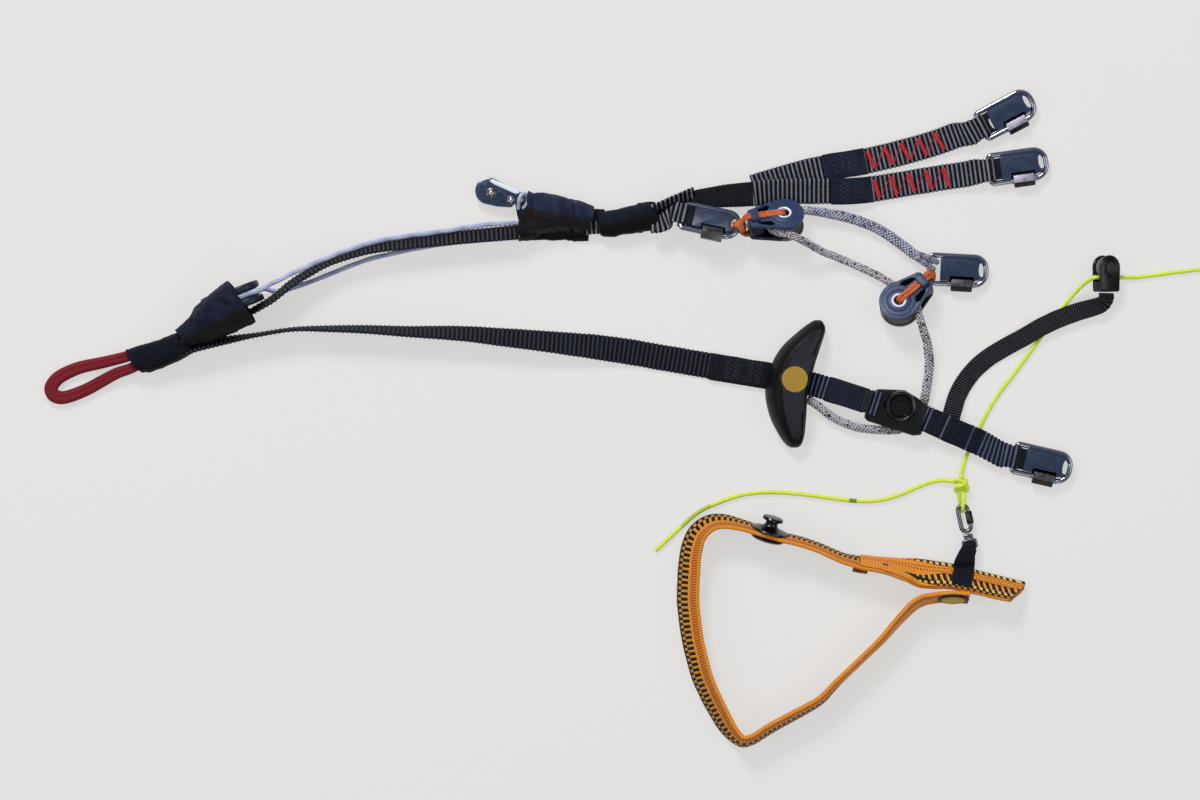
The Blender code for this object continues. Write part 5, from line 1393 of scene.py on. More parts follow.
def make_sleeves():
    """Cloth sleeve over the upper speed pulley, the band over the strap end, and the hook."""
    sleeve = [((-28.6, 121.6), (-33.5, 95.6), 14.5), ((-19.4, 120.8), (-20.8, 95.4), 14.5),
        ((-11.0, 119.4), (-12.2, 95.2), 13.5), ((-1.1, 116.8), (-3.6, 95.2), 12.0),
        ((7.2, 113.6), (4.0, 95.1), 11.0)]
    cloth_tube("upper_sleeve_cloth", "upper_sleeve", sleeve, NAVY_CLOTH,
        power=2.1, flange=((0, 0.0), (0.12, 0.0), (0.4, 4.6), (1, 4.6)),
        split=((0, 0.31), (0.5, 0.43), (1, 0.4)), creases=((-9.9, 115.8, -5.0, 99.9, 1.7, 1.1),
        (-13.5, 116.5, -11.5, 103.0, -0.7, 2.0), (-22.5, 117.0, -18.5, 106.0, 0.8, 1.5),
        (-4.0, 113.0, 1.5, 101.0, 0.9, 1.2), (-28.5, 109.0, -20.0, 104.5, 0.9, 1.3),
        (-16.0, 105.0, -11.0, 99.5, 0.8, 1.2), (2.0, 112.5, 4.2, 103.0, 1.0, 1.2),
        (-25.4, 120.5, -26.2, 105.0, 1.0, 0.9), (-31.0, 98.6, 3.0, 98.0, 1.1, 0.8)), crumple=0.8,
        size=9.0, hems=((0.6, 1.5), (36.6, 1.6)), seed=5.0,
        pulls=(((0, 0), (0.11, -0.1), (0.33, 1.6), (0.45, 0.2), (0.65, -1.9), (0.9, -0.6), (1, 0)),
        ((0, 0), (0.35, 0.8), (0.5, -0.8), (1, 0))))
    band = [((9.3, 110.9), (9.6, 101.6), 9.0), ((11.0, 111.2), (11.3, 98.0), 10.0),
        ((16.7, 111.8), (17.0, 97.4), 10.8), ((27.0, 114.2), (28.0, 99.3), 11.0),
        ((37.3, 116.4), (38.2, 101.0), 11.0), ((40.6, 115.6), (41.4, 101.4), 10.0)]
    cloth_tube("riser_band_cloth", "riser_band", band, NEOPRENE, power=2.5,
        wall=1.0, split=((0, 0.5), (0.5, 0.45), (1, 0.45)),
        creases=((14.0, 109.5, 20.0, 101.0, 0.8, 1.8), (36.0, 114.0, 35.0, 103.0, 0.8, 1.3)),
        crumple=0.55, size=9.0, hems=((0.5, 1.2), (31.8, 1.4)), seed=11.0)
    ribs = strap("sleeve_strap_web", laid([(2.0, 102.8, 0, 3.0), (13.6, 103.4, 0, 3.0)], 8.6, 2.6),
        BLACK_WEB, 2.0)
    # A plain black strip over the strap's upper half: painted shade on that side.
    fold = strap("sleeve_strap_shade_layer", laid([(2.6, 109.6, 0, 3.6), (12.8, 109.0, 0, 3.6)], 6.4, 2.4),
        DARK_WEB, height=0.1)
    keep(joined("sleeve_strap_layers", ribs, fold), "webbing_black", "sleeve_strap")

    hook = placed(-42.4, 120.0, 3.7, -14.3)
    outline = arc((-7.7, 0.3), 7.2, 70, 276, 36) + [(-1.1, -6.7), (6.4, -5.3), (7.6, -2.9)]
    outline += arc((9.7, 0.0), 2.8, -76, 70, 12) + [(8.0, 4.2)]
    body = carve(prism("hook_body", outline, -2.2, 2.2, PLATE_STEEL),
        prism("eye_cut", circle(1.4, 20, 9.9, -0.2), -5, 5, STEEL))
    rounded(body, 0.7, hook)
    # The gate is near-white: its silver brightened as a painted highlight.
    parts = [body, rounded(prism("hook_gate", [(-7.4, 7.0), (-8.6, 5.4), (-5.6, 4.3), (7.6, 2.0),
        (8.6, 3.2), (7.8, 4.6)], 0.6, 3.1, GATE_STEEL), 0.6, hook)]
    parts.append(tube("hook_tip", [tuple(in_mm(hook) @ Vector(p)) for p in
        ((7.4, 3.2, 2.4), (9.6, 3.0, 2.4), (11.6, 1.8, 2.0), (12.2, 0.2, 1.6))], 1.9, STEEL, 12))
    # A pale tapered strip along the lobe's upper-left edge: a painted highlight.
    rim = [tuple(in_mm(hook) @ Vector((x, y, 1.9))) for x, y in arc((-7.7, 0.3), 6.6, 84, 164, 10)]
    parts.append(tube("hook_rim_highlight", rim, 0.9, GATE_STEEL, 10,
        fatness=[0.3 + sin(pi * k / 10) for k in range(11)]))
    for x, y, wide in ((-5.9, -0.5, 2.8), (5.4, -1.6, 2.3)):
        for profile, metal in (([(0.01, 2.1), (wide, 2.1), (wide, 2.5), (wide - 0.3, 2.7), (0.01, 2.7)],
                WASHER_STEEL), ([(0.01, 2.6), (1.35, 2.6), (1.25, 3.2), (0.75, 3.5), (0.01, 3.6)],
                STEEL)):
            parts.append(seated(turned("hook_rivet", profile, metal, 24),
                hook @ Matrix.Translation((x * MM, y * MM, 0))))
    keep(joined("speed_hook_body", *parts), "steel", "speed_hook")
    eye = [(-33.6, 112.6, 3.4), (-33.3, 115.4, 5.4), (-32.9, 118.0, 7.0), (-31.4, 120.6, 7.0),
        (-29.6, 119.8, 5.6), (-28.9, 117.4, 4.2), (-29.8, 114.8, 3.6), (-31.4, 112.6, 3.3)]
    ring = braided("hook_eye_braid", smooth_route(eye, 0.4), 2.3, WHITE_YARN, 10)
    tape = strap("hook_tape", laid([(-32.3, 116.0, 0, 2.0), (-31.9, 113.0, 0, 2.2),
        (-31.3, 109.4, 0, 2.4), (-30.4, 106.2, 0, 2.6)], 6.4, 1.8, 2.0), PLAIN_WEB, height=0.1)
    keep(joined("speed_hook_cord", ring, tape), "cord_white", "speed_hook_strap")


# Straps

def make_long_straps():
    """The main strap on its edge, and the C strap that turns flat."""
    main = [(-214.7, 40.6, -90, 1.4), (-208.6, 43.4, -90, 1.9), (-201.4, 46.6, -90, 2.3),
        (-192.2, 50.4, -88, 2.5), (-183.4, 53.8, -81, 2.7), (-176.7, 57.4, -77, 2.9),
        (-165.3, 64.2, -75, 3.4), (-157.1, 71.1, -74, 3.4), (-145.8, 78.4, -72, 2.2),
        (-134.5, 84.5, -71, 0.9), (-113.9, 90.7, -70, 0.1), (-93.0, 93.9, -64, 0.1),
        (-66.4, 96.9, -60, 0.1), (-34.4, 99.9, -58, 0.1), (-31.6, 100.2, -58, 0.1)]
    keep(strap("main_strap_web", laid(main, WEB_WIDTH, 1.6), MAIN_WEB, seed=1.0), "webbing_black",
        "main_strap")
    route = [(-213.6, 35.6, -72, 1.0), (-210.4, 36.6, -72, 1.0), (-206.8, 38.0, -72, 0.8),
        (-192.2, 41.4, -74, 0.3), (-175.7, 44.3, -83, 0.1), (-155.0, 47.5, -84, 0.1),
        (-134.5, 47.8, -79, 0.1), (-113.9, 47.4, -74, 0.1), (-93.0, 46.3, -68, 0.1),
        (-65.3, 45.3, -57, 0.1), (-38.3, 42.9, -46, 0.1), (-11.3, 40.2, -33, 0.1), (15.7, 37.0, -10, 0.1),
        (37.3, 33.5, -2, 0.1), (71.4, 27.5, 0, 0.1)]
    keep(strap("c_strap_web", laid(route, WEB_WIDTH, 1.6), C_WEB, seed=2.0), "webbing_black", "c_strap")


def eye_core(key, matrix):
    """The strap's plain folded inside, which fills a maillon up to its keeper."""
    outline = [(-13.4, -5.7), (-8.9, -5.7)]
    if key == "a":
        outline += [(-9.0, -5.0), (-10.2, -3.2), (-10.6, -1.0), (-10.2, 1.4), (-9.0, 2.8)]
    outline += [(-8.9, 5.7), (-13.4, 5.7)]
    return rounded(prism(f"{key}_eye_core", outline, -1.5, 1.5, DARK_WEB), 0.4, matrix)


def make_line_straps():
    """A and A2 straps with their sewn tabs and red zigzags, and the joint that they leave."""
    a_route = [(92.8, 124.0, 0, 0.1), (112.9, 130.2, 0, 0.1), (131.2, 134.6, 0, 0.1),
        (153.9, 138.4, 0, 0.1), (172.3, 142.8, 0, 0.1), (190.0, 147.8, 0, 0.5), (203.0, 152.4, 0, 1.4)]
    a2_route = [(92.8, 120.4, 10, 3.0), (100.0, 121.3, 18, 1.6), (112.9, 121.9, 14, 1.0),
        (124.0, 122.1, 11, 1.0), (134.5, 122.1, 9, 1.2), (147.0, 122.3, 8, 1.2), (158.0, 123.4, 2, 0.4),
        (180.9, 127.2, 0, 0.1), (196.0, 129.6, 0, 0.5), (208.0, 131.3, 0, 1.6)]
    for key, route, tab, first, lean in (("a", a_route, ((131.2, 134.6), (153.5, 138.4)), 155.6, 2.2),
            ("a2", a2_route, ((134.8, 122.1), (156.6, 123.3)), 159.0, 1.4)):
        rows = web_stations(route, WEB_WIDTH, WEB_DOUBLE) + eye_stations(in_mm(MAILLONS[key]))
        fine = fine_stations(rows)
        low, high = nearest(fine, *tab[0]), nearest(fine, *tab[1])
        body = strap(f"{key}_strap_base", fine, BLACK_WEB, plain=((low + 2, high - 2),), seed=len(key) +
            3.0)
        cover = layer(f"{key}_strap_tab", fine, low, high, WEB_WIDTH + 0.3, 1.0, PLAIN_WEB)
        marks = []
        for share in (0.3, 0.64):
            centre = (low + (high - low) * share) * STATION
            marks += sewn_zigzag(fine, centre, 4.4, 3.2, 1.25, 1.0)
            marks += sewn_zigzag(fine, centre + 3.0, 4.4, 2.4, 1.25, 1.0)
        stitches = stitched(f"{key}_tab_stitches", marks, 0.42, GREY_THREAD)
        start = nearest(fine, first, tab[1][1] + 1.0) * STATION
        bars = satin_zigzag(fine, start, 5, 9.55, 4.9, lean, 2.9)
        red = stitched(f"{key}_zigzag", bars, 0.56, RED_THREAD)
        keep(joined(f"{key}_strap_web", body, cover, stitches, red, eye_core(key, MAILLONS[key])),
            "webbing_black", f"{key}_strap")

    layers = []
    joint = [((58.8, 122.3), (59.8, 112.8)), ((72.0, 124.8), (73.6, 113.2)),
        ((83.0, 126.4), (84.4, 113.6)), ((92.2, 127.3), (93.4, 114.0))]
    for n, (low, grow) in enumerate(((0.1, 0.0), (1.95, -0.3), (3.8, -0.5))):
        rows = []
        for (lx, ly), (rx, ry) in joint:
            left, right = Vector((lx, ly, 0)), Vector((rx, ry, 0))
            middle = (left + right) / 2
            rows.append((Vector((middle.x, middle.y, low + 0.9)), (left - right).normalized(),
                (left - right).length + grow, 1.85))
        layers.append(strap(f"joint_layer_{n}", fine_stations(rows), DARK_WEB, height=0.16, seed=n +
            20.0))
    top = fine_stations(rows)
    marks = []
    for at in (5.0, 14.5, 23.5, 28.5):
        marks += sewn_zigzag(top, at, 4.6, 2.6, 0.75, 0.12)
    layers.append(stitched("joint_stitches", marks, 0.5, BLACK_THREAD))
    keep(joined("riser_joint_webs", *layers), "webbing_black", "riser_joint")

    upper = web_stations([(37.6, 111.9, 76, 0.2), (50.8, 116.2, 60, 0.2), (61.5, 119.2, 40, 0.2)], 13.0,
        1.6, 4.0)
    keep(strap("upper_stub_web", fine_stations(upper), BLACK_WEB, 1.9, seed=31.0), "webbing_black",
        "upper_stub")
    middle = web_stations([(37.9, 107.9, -61, 0.2), (50.8, 110.4, -58, 0.2), (61.8, 112.3, -56, 0.2)],
        7.0, 1.4, 4.0)
    keep(strap("middle_stub_web", fine_stations(middle), BLACK_WEB, 1.9, seed=32.0), "webbing_black",
        "middle_stub")
    rows = web_stations([(37.6, 104.4, -30, 4.4), (42.6, 104.6, -33, 4.9), (46.4, 106.4, -32, 5.4)], 11.6,
        1.8, 4.0)
    rows += eye_stations(in_mm(MAILLONS["b"]))[1:]
    stub = strap("b_stub_web", fine_stations(rows), BLACK_WEB, 1.9, seed=33.0)
    keep(joined("b_stub_sewn", stub, eye_core("b", MAILLONS["b"])), "webbing_black", "b_stub")


def make_c_straps():
    """C strap past the handle: sewn overlay, middle strap with its tab, and the sewn end."""
    rows = web_stations([(69.8, 27.7, 0, 0), (96.5, 23.2, 0, 0), (120.8, 19.0, 0, 0)], 14.6, 3.0, 8.0)
    fine = fine_stations(rows)
    base = strap("overlay_web", fine, DARK_WEB, height=0.1, seed=41.0)
    marks = []
    for at in (10.0, 14.5, 22.0, 26.5):
        marks += sewn_zigzag(fine, at, 5.2, 3.0, 1.15, 0.1)
    keep(joined("c_strap_sewn_cover", base, stitched("overlay_stitches", marks, 0.42, GREY_THREAD)),
        "webbing_black", "c_strap_overlay")

    rows = web_stations([(119.4, 19.3, 0, 0.2), (127.0, 17.4, 0, 0.8), (133.4, 15.4, 0, 2.6),
        (145.3, 11.6, 0, 6.2), (152.4, 9.4, 0, 7.2), (160.0, 7.0, 0, 7.3)], 13.0, 2.0, 4.0)
    fine = fine_stations(rows)
    low, high = nearest(fine, 133.4, 15.4), nearest(fine, 153.8, 9.0)
    base = strap("middle_web", fine, NAVY_WEB, 2.2, plain=((low, high),), seed=42.0)
    cover = layer("middle_tab", fine, low, high, 13.6, 0.9, PLAIN_WEB)
    marks = []
    for share in (0.25, 0.62):
        marks += sewn_zigzag(fine, (low + (high - low) * share) * STATION, 3.2, 2.2, 1.0, 0.95)
        marks += sewn_zigzag(fine, (low + (high - low) * share + 4) * STATION, 3.2, 2.2, 1.0, 0.95)
    elastic = layer("socket_elastic", fine, high - 4, min(len(fine) - 1, high + 6), 12.0, 1.3, FINE_WEB,
        height=0.25, spacing=1.25)
    keep(joined("c_middle_strap_web", base, cover, elastic,
        stitched("middle_stitches", marks, 0.4, BLACK_THREAD)), "webbing_black", "c_middle_strap")

    rows = web_stations([(183.8, 0.2, 0, 4.9), (193.0, -3.8, 0, 4.9), (199.3, -6.8, 0, 4.9),
        (207.0, -10.0, 0, 4.2), (215.5, -13.7, 0, 3.6)], WEB_WIDTH, WEB_DOUBLE)
    matrix = MAILLONS["c"]
    fine = fine_stations(rows + eye_stations(in_mm(matrix)))
    bare = [(nearest(fine, low, -4.0 - (low - 193) * 0.41),
        nearest(fine, high, -4.0 - (high - 193) * 0.41)) for low, high in
        ((188.6, 194.8), (196.6, 208.4), (210.4, 214.6))]
    base = strap("end_web", fine, NAVY_WEB, 2.4, plain=bare, seed=43.0)
    marks = []
    for at in (6.5, 9.5, 15.0, 18.5, 22.0, 28.0):
        marks += sewn_zigzag(fine, at, 5.6, 2.6, 0.8, 0.15)
    keep(joined("c_strap_end_web", base, stitched("end_stitches", marks[::2], 0.45, BLACK_THREAD),
        stitched("end_pale_stitches", marks[1::4], 0.4, GREY_THREAD), eye_core("c", matrix)),
        "webbing_black", "c_strap_end")


# Metal and plastic

def make_maillon(key, matrix):
    """Bent wire link with its hex screw nut, and the moulded keeper inside it."""
    outline = arc((HALF_LENGTH - 6.5, HALF_WIDTH - 6.5), 6.5, 0, 90, 16)
    outline += arc((-HALF_LENGTH + 1.9, HALF_WIDTH - 1.9), 1.9, 90, 180, 8)
    outline += arc((-HALF_LENGTH + 1.9, -HALF_WIDTH + 1.9), 1.9, 180, 270, 8)
    outline += arc((HALF_LENGTH - 6.5, -HALF_WIDTH + 6.5), 6.5, 270, 360, 16)
    wire = seated(tube(f"{key}_wire", [(x, y, 0) for x, y in outline], WIRE, STEEL, 20, closed=True),
        matrix)
    corner, lean = 3.9, 20
    hexagon = arc((0, 0), corner, lean, lean + 300, 5)
    turn = Matrix.Rotation(radians(90), 4, "Y")
    nut = prism(f"{key}_nut", hexagon, -5.7, 5.7, DULL_STEEL if key in ("a", "a2") else WORN_STEEL)
    cone = turned(f"{key}_chamfer", [(0.01, -6.0), (3.2, -6.0), (4.1, -5.2), (4.1, 5.2), (3.2, 6.0),
        (0.01, 6.0)], DULL_STEEL if key in ("a", "a2") else WORN_STEEL, 48)
    carve(nut, cone, operation="INTERSECT")
    rounded(nut, 0.3, matrix @ Matrix.Translation((2.4 * MM, -HALF_WIDTH * MM, 0)) @ turn, 2)
    # Nut facets facing -Y and not upward take the dark steel: painted shade on the nut's shaded side.
    nut.data.materials.append(DARK_STEEL)
    for polygon in nut.data.polygons:
        polygon.material_index = int(polygon.normal.y < -0.25 and polygon.normal.z < 0.8)
    threads = []
    for x in (-4.1, 8.9):
        for n in range(4):
            ring = tube("thread", [(x + n * 0.55 - 0.8, -HALF_WIDTH + 1.5 * sin(a), 1.5 * cos(a)) for a in
                [tau * i / 20 for i in range(20)]], 0.34, STEEL, 6, closed=True)
            threads.append(seated(ring, matrix))
    keep(joined(f"{key}_maillon_wire", wire, nut, *threads), "steel", f"{key}_maillon_link")

    inner = WIRE / 2 + 0.12
    right, top, bend = HALF_LENGTH - inner, HALF_WIDTH - inner, 6.5 - inner
    notch, shelf = 6.5, -HALF_WIDTH + corner + 0.4
    outline = [(-9.3, top), (-9.3, -top), (2.4 - notch, -top), (2.4 - notch, shelf), (2.4 + notch, shelf),
        (2.4 + notch, -top + 0.4)]
    outline += arc((right - bend, -top + bend), bend, -50, -22, 6)
    outline += [(right - 1.9, -2.6), (right - 2.5, 0.2), (right - 2.4, 2.0), (right - 2.2, 3.8)]
    outline += arc((right - bend, top - bend), bend, 42, 90, 8)
    insert = rounded(prism(f"{key}_keeper", outline, -1.9, 1.9, KEEPER), 0.55, matrix)
    ovals = []
    for long, wide, high, thick in ((6.1, 3.3, 1.86, 0.5), (5.1, 2.5, 1.84, 0.34)):
        oval = [(0.4 + long * x, 1.2 + wide * y, high) for x, y in circle(1.0, 48)]
        ovals.append(seated(tube(f"{key}_oval", oval, thick, KEEPER, 8, closed=True), matrix))
    # A black plate under the nut's notch: painted shade in the slot.
    slot = block(f"{key}_slot", (2.4 - notch - 0.1, -HALF_WIDTH + 0.2, -1.8),
        (2.4 + notch + 0.1, shelf + 0.6, -0.9), PAINTED_SHADE_BLACK)
    seated(slot, matrix)
    bend = arc((HALF_LENGTH - 6.5, HALF_WIDTH - 6.5), 4.9, 20, 90, 12)
    outline = [(-8.6, HALF_WIDTH - 1.6)] + bend[::-1] + arc((HALF_LENGTH - 6.5, HALF_WIDTH - 6.5), 6.7,
        20, 90, 12)
    lip = rounded(prism(f"{key}_lip", outline + [(-8.6, HALF_WIDTH + 0.2)], 1.3, 1.95, KEEPER), 0.3,
        matrix)
    keep(joined(f"{key}_maillon_keeper", insert, *ovals, slot, lip), "plastic_blue",
        f"{key}_maillon_insert")


def make_pulley(key, matrix):
    """Two moulded cheeks on a head block, stepped round the hollow axle, and the wheel between."""
    outline = arc((0, 0), 10.8, 72, 288, 56)
    outline += [(18.3, -6.0), (19.5, -4.6), (19.5, 4.6), (18.3, 6.0)]
    parts = []
    for way in (1, -1):
        low, high = sorted((way * (PULLEY_HALF - CHEEK), way * PULLEY_HALF))
        # The lower cheek takes the darker blue-black nylon: painted shade on the cheek turned from the
        # light.
        cheek = prism(f"{key}_cheek_{way}", outline, low, high, BLUE_PLASTIC if way > 0 else DEEP_PLASTIC)
        cutters = [prism("hub_cut", circle(3.4, 40), low - 1, high + 1, BLUE_PLASTIC)]
        for side in (-1, 1):
            window = [(6.2, side * 5.0), (7.6, side * 4.0), (13.6, side * 3.5), (15.0, side * 4.4),
                (13.6, side * 5.7), (8.4, side * 7.6), (6.6, side * 7.0)]
            if side < 0:
                window.reverse()
            cutters.append(prism("window_cut", window, low - 1, high + 1, BLUE_PLASTIC))
        carve(cheek, *cutters)
        rounded(cheek, 0.75, matrix)
        if way < 0:
            cheek.data.materials.append(GREY_PLASTIC)
            into = matrix.inverted()
            for polygon in cheek.data.polygons:
                if (into @ polygon.center).x < 6 * MM and abs((into.to_3x3() @ polygon.normal).z) < 0.75:
                    polygon.material_index = 1
        parts.append(cheek)
        # Black plates behind the cheek windows: painted shade inside the pulley.
        for side in (-1, 1):
            low, high = sorted((way * (PULLEY_HALF - CHEEK - 0.1), way * (PULLEY_HALF - CHEEK + 0.5)))
            back = prism(f"{key}_shade_liner", [(5.9, side * 3.6), (15.4, side * 3.2), (15.4, side * 6.0),
                (6.2, side * 7.9)], low, high, PAINTED_SHADE_BLACK)
            parts.append(seated(back, matrix))
        z = way * PULLEY_HALF
        for radius, rise, inner in ((9.0, 0.3, 6.7), (6.9, 0.65, 3.4)):
            ring = turned(f"{key}_step_{radius}", [(inner, z - way * 0.3), (radius, z - way * 0.3),
                (radius, z + way * rise * 0.55), (radius - 0.35, z + way * rise),
                (inner, z + way * rise)], BLUE_PLASTIC, 56)
            parts.append(seated(ring, matrix))
        rim = turned(f"{key}_rim", [(2.85, z - way * 0.4), (3.95, z - way * 0.4), (4.0, z + way * 0.7),
            (3.6, z + way * 0.95), (2.95, z + way * 0.7)], GATE_STEEL, 48)
        parts.append(seated(rim, matrix))
    # The head block takes the blue-black nylon: painted shade on the pulley's lower body.
    head = rounded(block(f"{key}_head", (11.9, -5.9, -3.7), (19.3, 5.9, 3.7), DEEP_PLASTIC), 0.7, matrix)
    axle = seated(turned(f"{key}_axle", [(2.8, -4.8), (3.5, -4.8), (3.5, 4.8), (2.8, 4.8)], STEEL, 40),
        matrix)
    arch = [(-3.9, 4.6), (-3.9, 7.6), (-3.1, 8.6), (3.1, 8.6), (3.9, 7.6), (3.9, 4.6), (2.5, 4.6),
        (2.5, 7.4), (-2.5, 7.4), (-2.5, 4.6)]
    turn = Matrix(((0, 0, 1, 0), (1, 0, 0, 0), (0, 1, 0, 0), (0, 0, 0, 1)))
    bridge = rounded(prism(f"{key}_bridge", arch, 14.2, 18.4, BLUE_PLASTIC), 0.4, matrix @ turn)
    keep(joined(f"{key}_block", *parts, head, axle, bridge), "plastic_blue", f"{key}_frame")
    wheel = turned(f"{key}_wheel_grooved", [(3.8, -3.3), (9.9, -3.3), (10.2, -3.0), (10.2, -2.65),
        (7.5, -2.45), (6.7, -1.5), (6.6, 0.0), (6.7, 1.5), (7.5, 2.45), (10.2, 2.65), (10.2, 3.0),
        (9.9, 3.3), (3.8, 3.3)], GREY_PLASTIC, 56)
    keep(seated(wheel, matrix), "plastic_grey", f"{key}_sheave", body=f"{key}_wheel")


def make_handle():
    """Curved grip: a glossy swelling side and a flat grained face that meet in one ridge."""
    sections = [(126.3, 52.6, 129.0, 52.6, 127.8, 52.4, 4.6),
        (124.4, 51.7, 130.5, 51.4, 127.6, 51.0, 8.0), (119.1, 48.0, 131.6, 47.0, 126.4, 46.6, 12.0),
        (108.8, 38.7, 128.6, 37.4, 118.1, 38.2, 15.0), (102.6, 28.4, 125.3, 27.0, 110.9, 27.6, 16.5),
        (99.3, 14.9, 121.9, 12.6, 108.3, 14.4, 17.0), (101.5, 1.5, 121.2, 1.5, 110.0, 0.6, 16.0),
        (106.8, -9.5, 120.4, -9.0, 113.4, -9.4, 13.0), (110.6, -14.6, 119.0, -14.2, 114.8, -14.4, 9.6),
        (113.4, -16.3, 117.2, -16.1, 115.3, -16.2, 5.6)]
    rows = smooth_route([(lx, ly, 0.0, rx, ry, mx, my, top) for lx, ly, rx, ry, mx, my, top in sections],
        0.9)
    rings = []
    for lx, ly, _, rx, ry, mx, my, top in rows:
        left, right, ridge = Vector((lx, ly, 0)), Vector((rx, ry, 0)), Vector((mx, my, 0))
        ring = []
        for share in (0.16, 0.08, 0.02):
            ring.append(left.lerp(right, share) + UP * (0.3 + (0.16 - share) * 3))
        for k in range(1, 13):
            t = k / 12
            swell = sin(t * pi / 2)
            flat = 1 - cos(t * pi / 2)
            place = left.lerp(ridge, flat)
            ring.append(place + UP * (0.9 + (top - 0.9) * swell))
        for k in range(1, 8):
            t = k / 8
            place = ridge.lerp(right, t)
            drop = 1.9 * t + 1.6 * max(0.0, (t - 0.8) / 0.2) ** 2
            ring.append(place + UP * (top - 0.5 * sin(t * pi) - drop * min(1.0, top / 10)))
        low = top - 3.6 * min(1.0, top / 10)
        for share, height in ((0.0, 0.93), (-0.01, 0.8), (0.0, 0.5), (0.02, 0.2), (0.07, 0.07),
                (0.14, 0.03)):
            ring.append(right.lerp(left, share) + UP * max(0.3, low * height))
        rings.append(ring)
    grip = lofted("c_grip", rings, BLACK_GRIP, sharp=32)
    grip.data.materials.append(GRIP_FACE)
    for polygon in grip.data.polygons:
        centre = polygon.center
        if polygon.normal.z > 0.8 and centre.z > 0.004:
            row = min(rows, key=lambda r: abs((r[6] * MM - centre.y)))
            if row[5] * MM - 0.0001 < centre.x < (row[3] - 2.2) * MM:
                polygon.material_index = 1
        if polygon.normal.z > 0.2 and dist(centre[:2], BADGE_CENTRE) < 0.0078 and centre.z > 0.004:
            polygon.material_index = 1
    channel = block("channel_cut", (-40, -7.9, -2), (40, 7.9, 3.6), BLACK_GLOSS)
    carve(grip, seated(channel, placed(96.5, 23.1, 0, -9.6)))
    keep(grip, "plastic_black", "c_handle")


def make_socket():
    """Press socket: base plate, raised deck, ring with a keyhole, and its recess."""
    base = [(152.6, 0.2), (154.2, -1.8), (178.9, -9.8), (183.4, -9.4), (186.6, 6.6), (181.5, 10.6),
        (174.6, 14.8), (160.4, 15.4), (155.6, 13.6)]
    deck = [(160.4, -3.6), (178.9, -9.2), (182.8, -8.8), (186.0, 6.4), (181.2, 10.2), (174.4, 14.2),
        (163.4, 14.6)]
    x, y = SOCKET_CENTRE
    notch = [(x - 9.6, y + 1.6), (x - 9.6, y - 0.2), (x - 8.4, y - 1.4), (x - 4.0, y - 2.2),
        (x - 4.0, y + 3.6), (x - 8.4, y + 2.8)]
    lower = rounded(prism("socket_base", base, 4.6, 7.0, BLACK_GLOSS), 0.8)
    upper = carve(prism("socket_deck", deck, 5.4, 9.0, BLACK_GLOSS),
        prism("well_cut", circle(5.2, 40, x, y), 6.6, 14, BLACK_GLOSS),
        prism("notch_cut", notch, 7.4, 14, BLACK_GLOSS))
    rounded(upper, 0.7)
    place = Matrix.Translation((x * MM, y * MM, 0))
    ring = turned("socket_ring", [(5.3, 6.8), (8.5, 6.8), (8.4, 9.6), (7.9, 10.7), (6.9, 11.0),
        (5.9, 10.5), (5.4, 9.4)], BLACK_GLOSS, 64)
    floor = turned("socket_floor", [(0.01, 6.7), (5.3, 6.7), (5.2, 7.0), (3.2, 7.1), (2.9, 7.6),
        (0.01, 7.7)], BLACK_GLOSS, 48)
    keep(joined("toggle_socket_body", lower, upper, seated(ring, place), seated(floor, place)),
        "plastic_black", "toggle_socket")


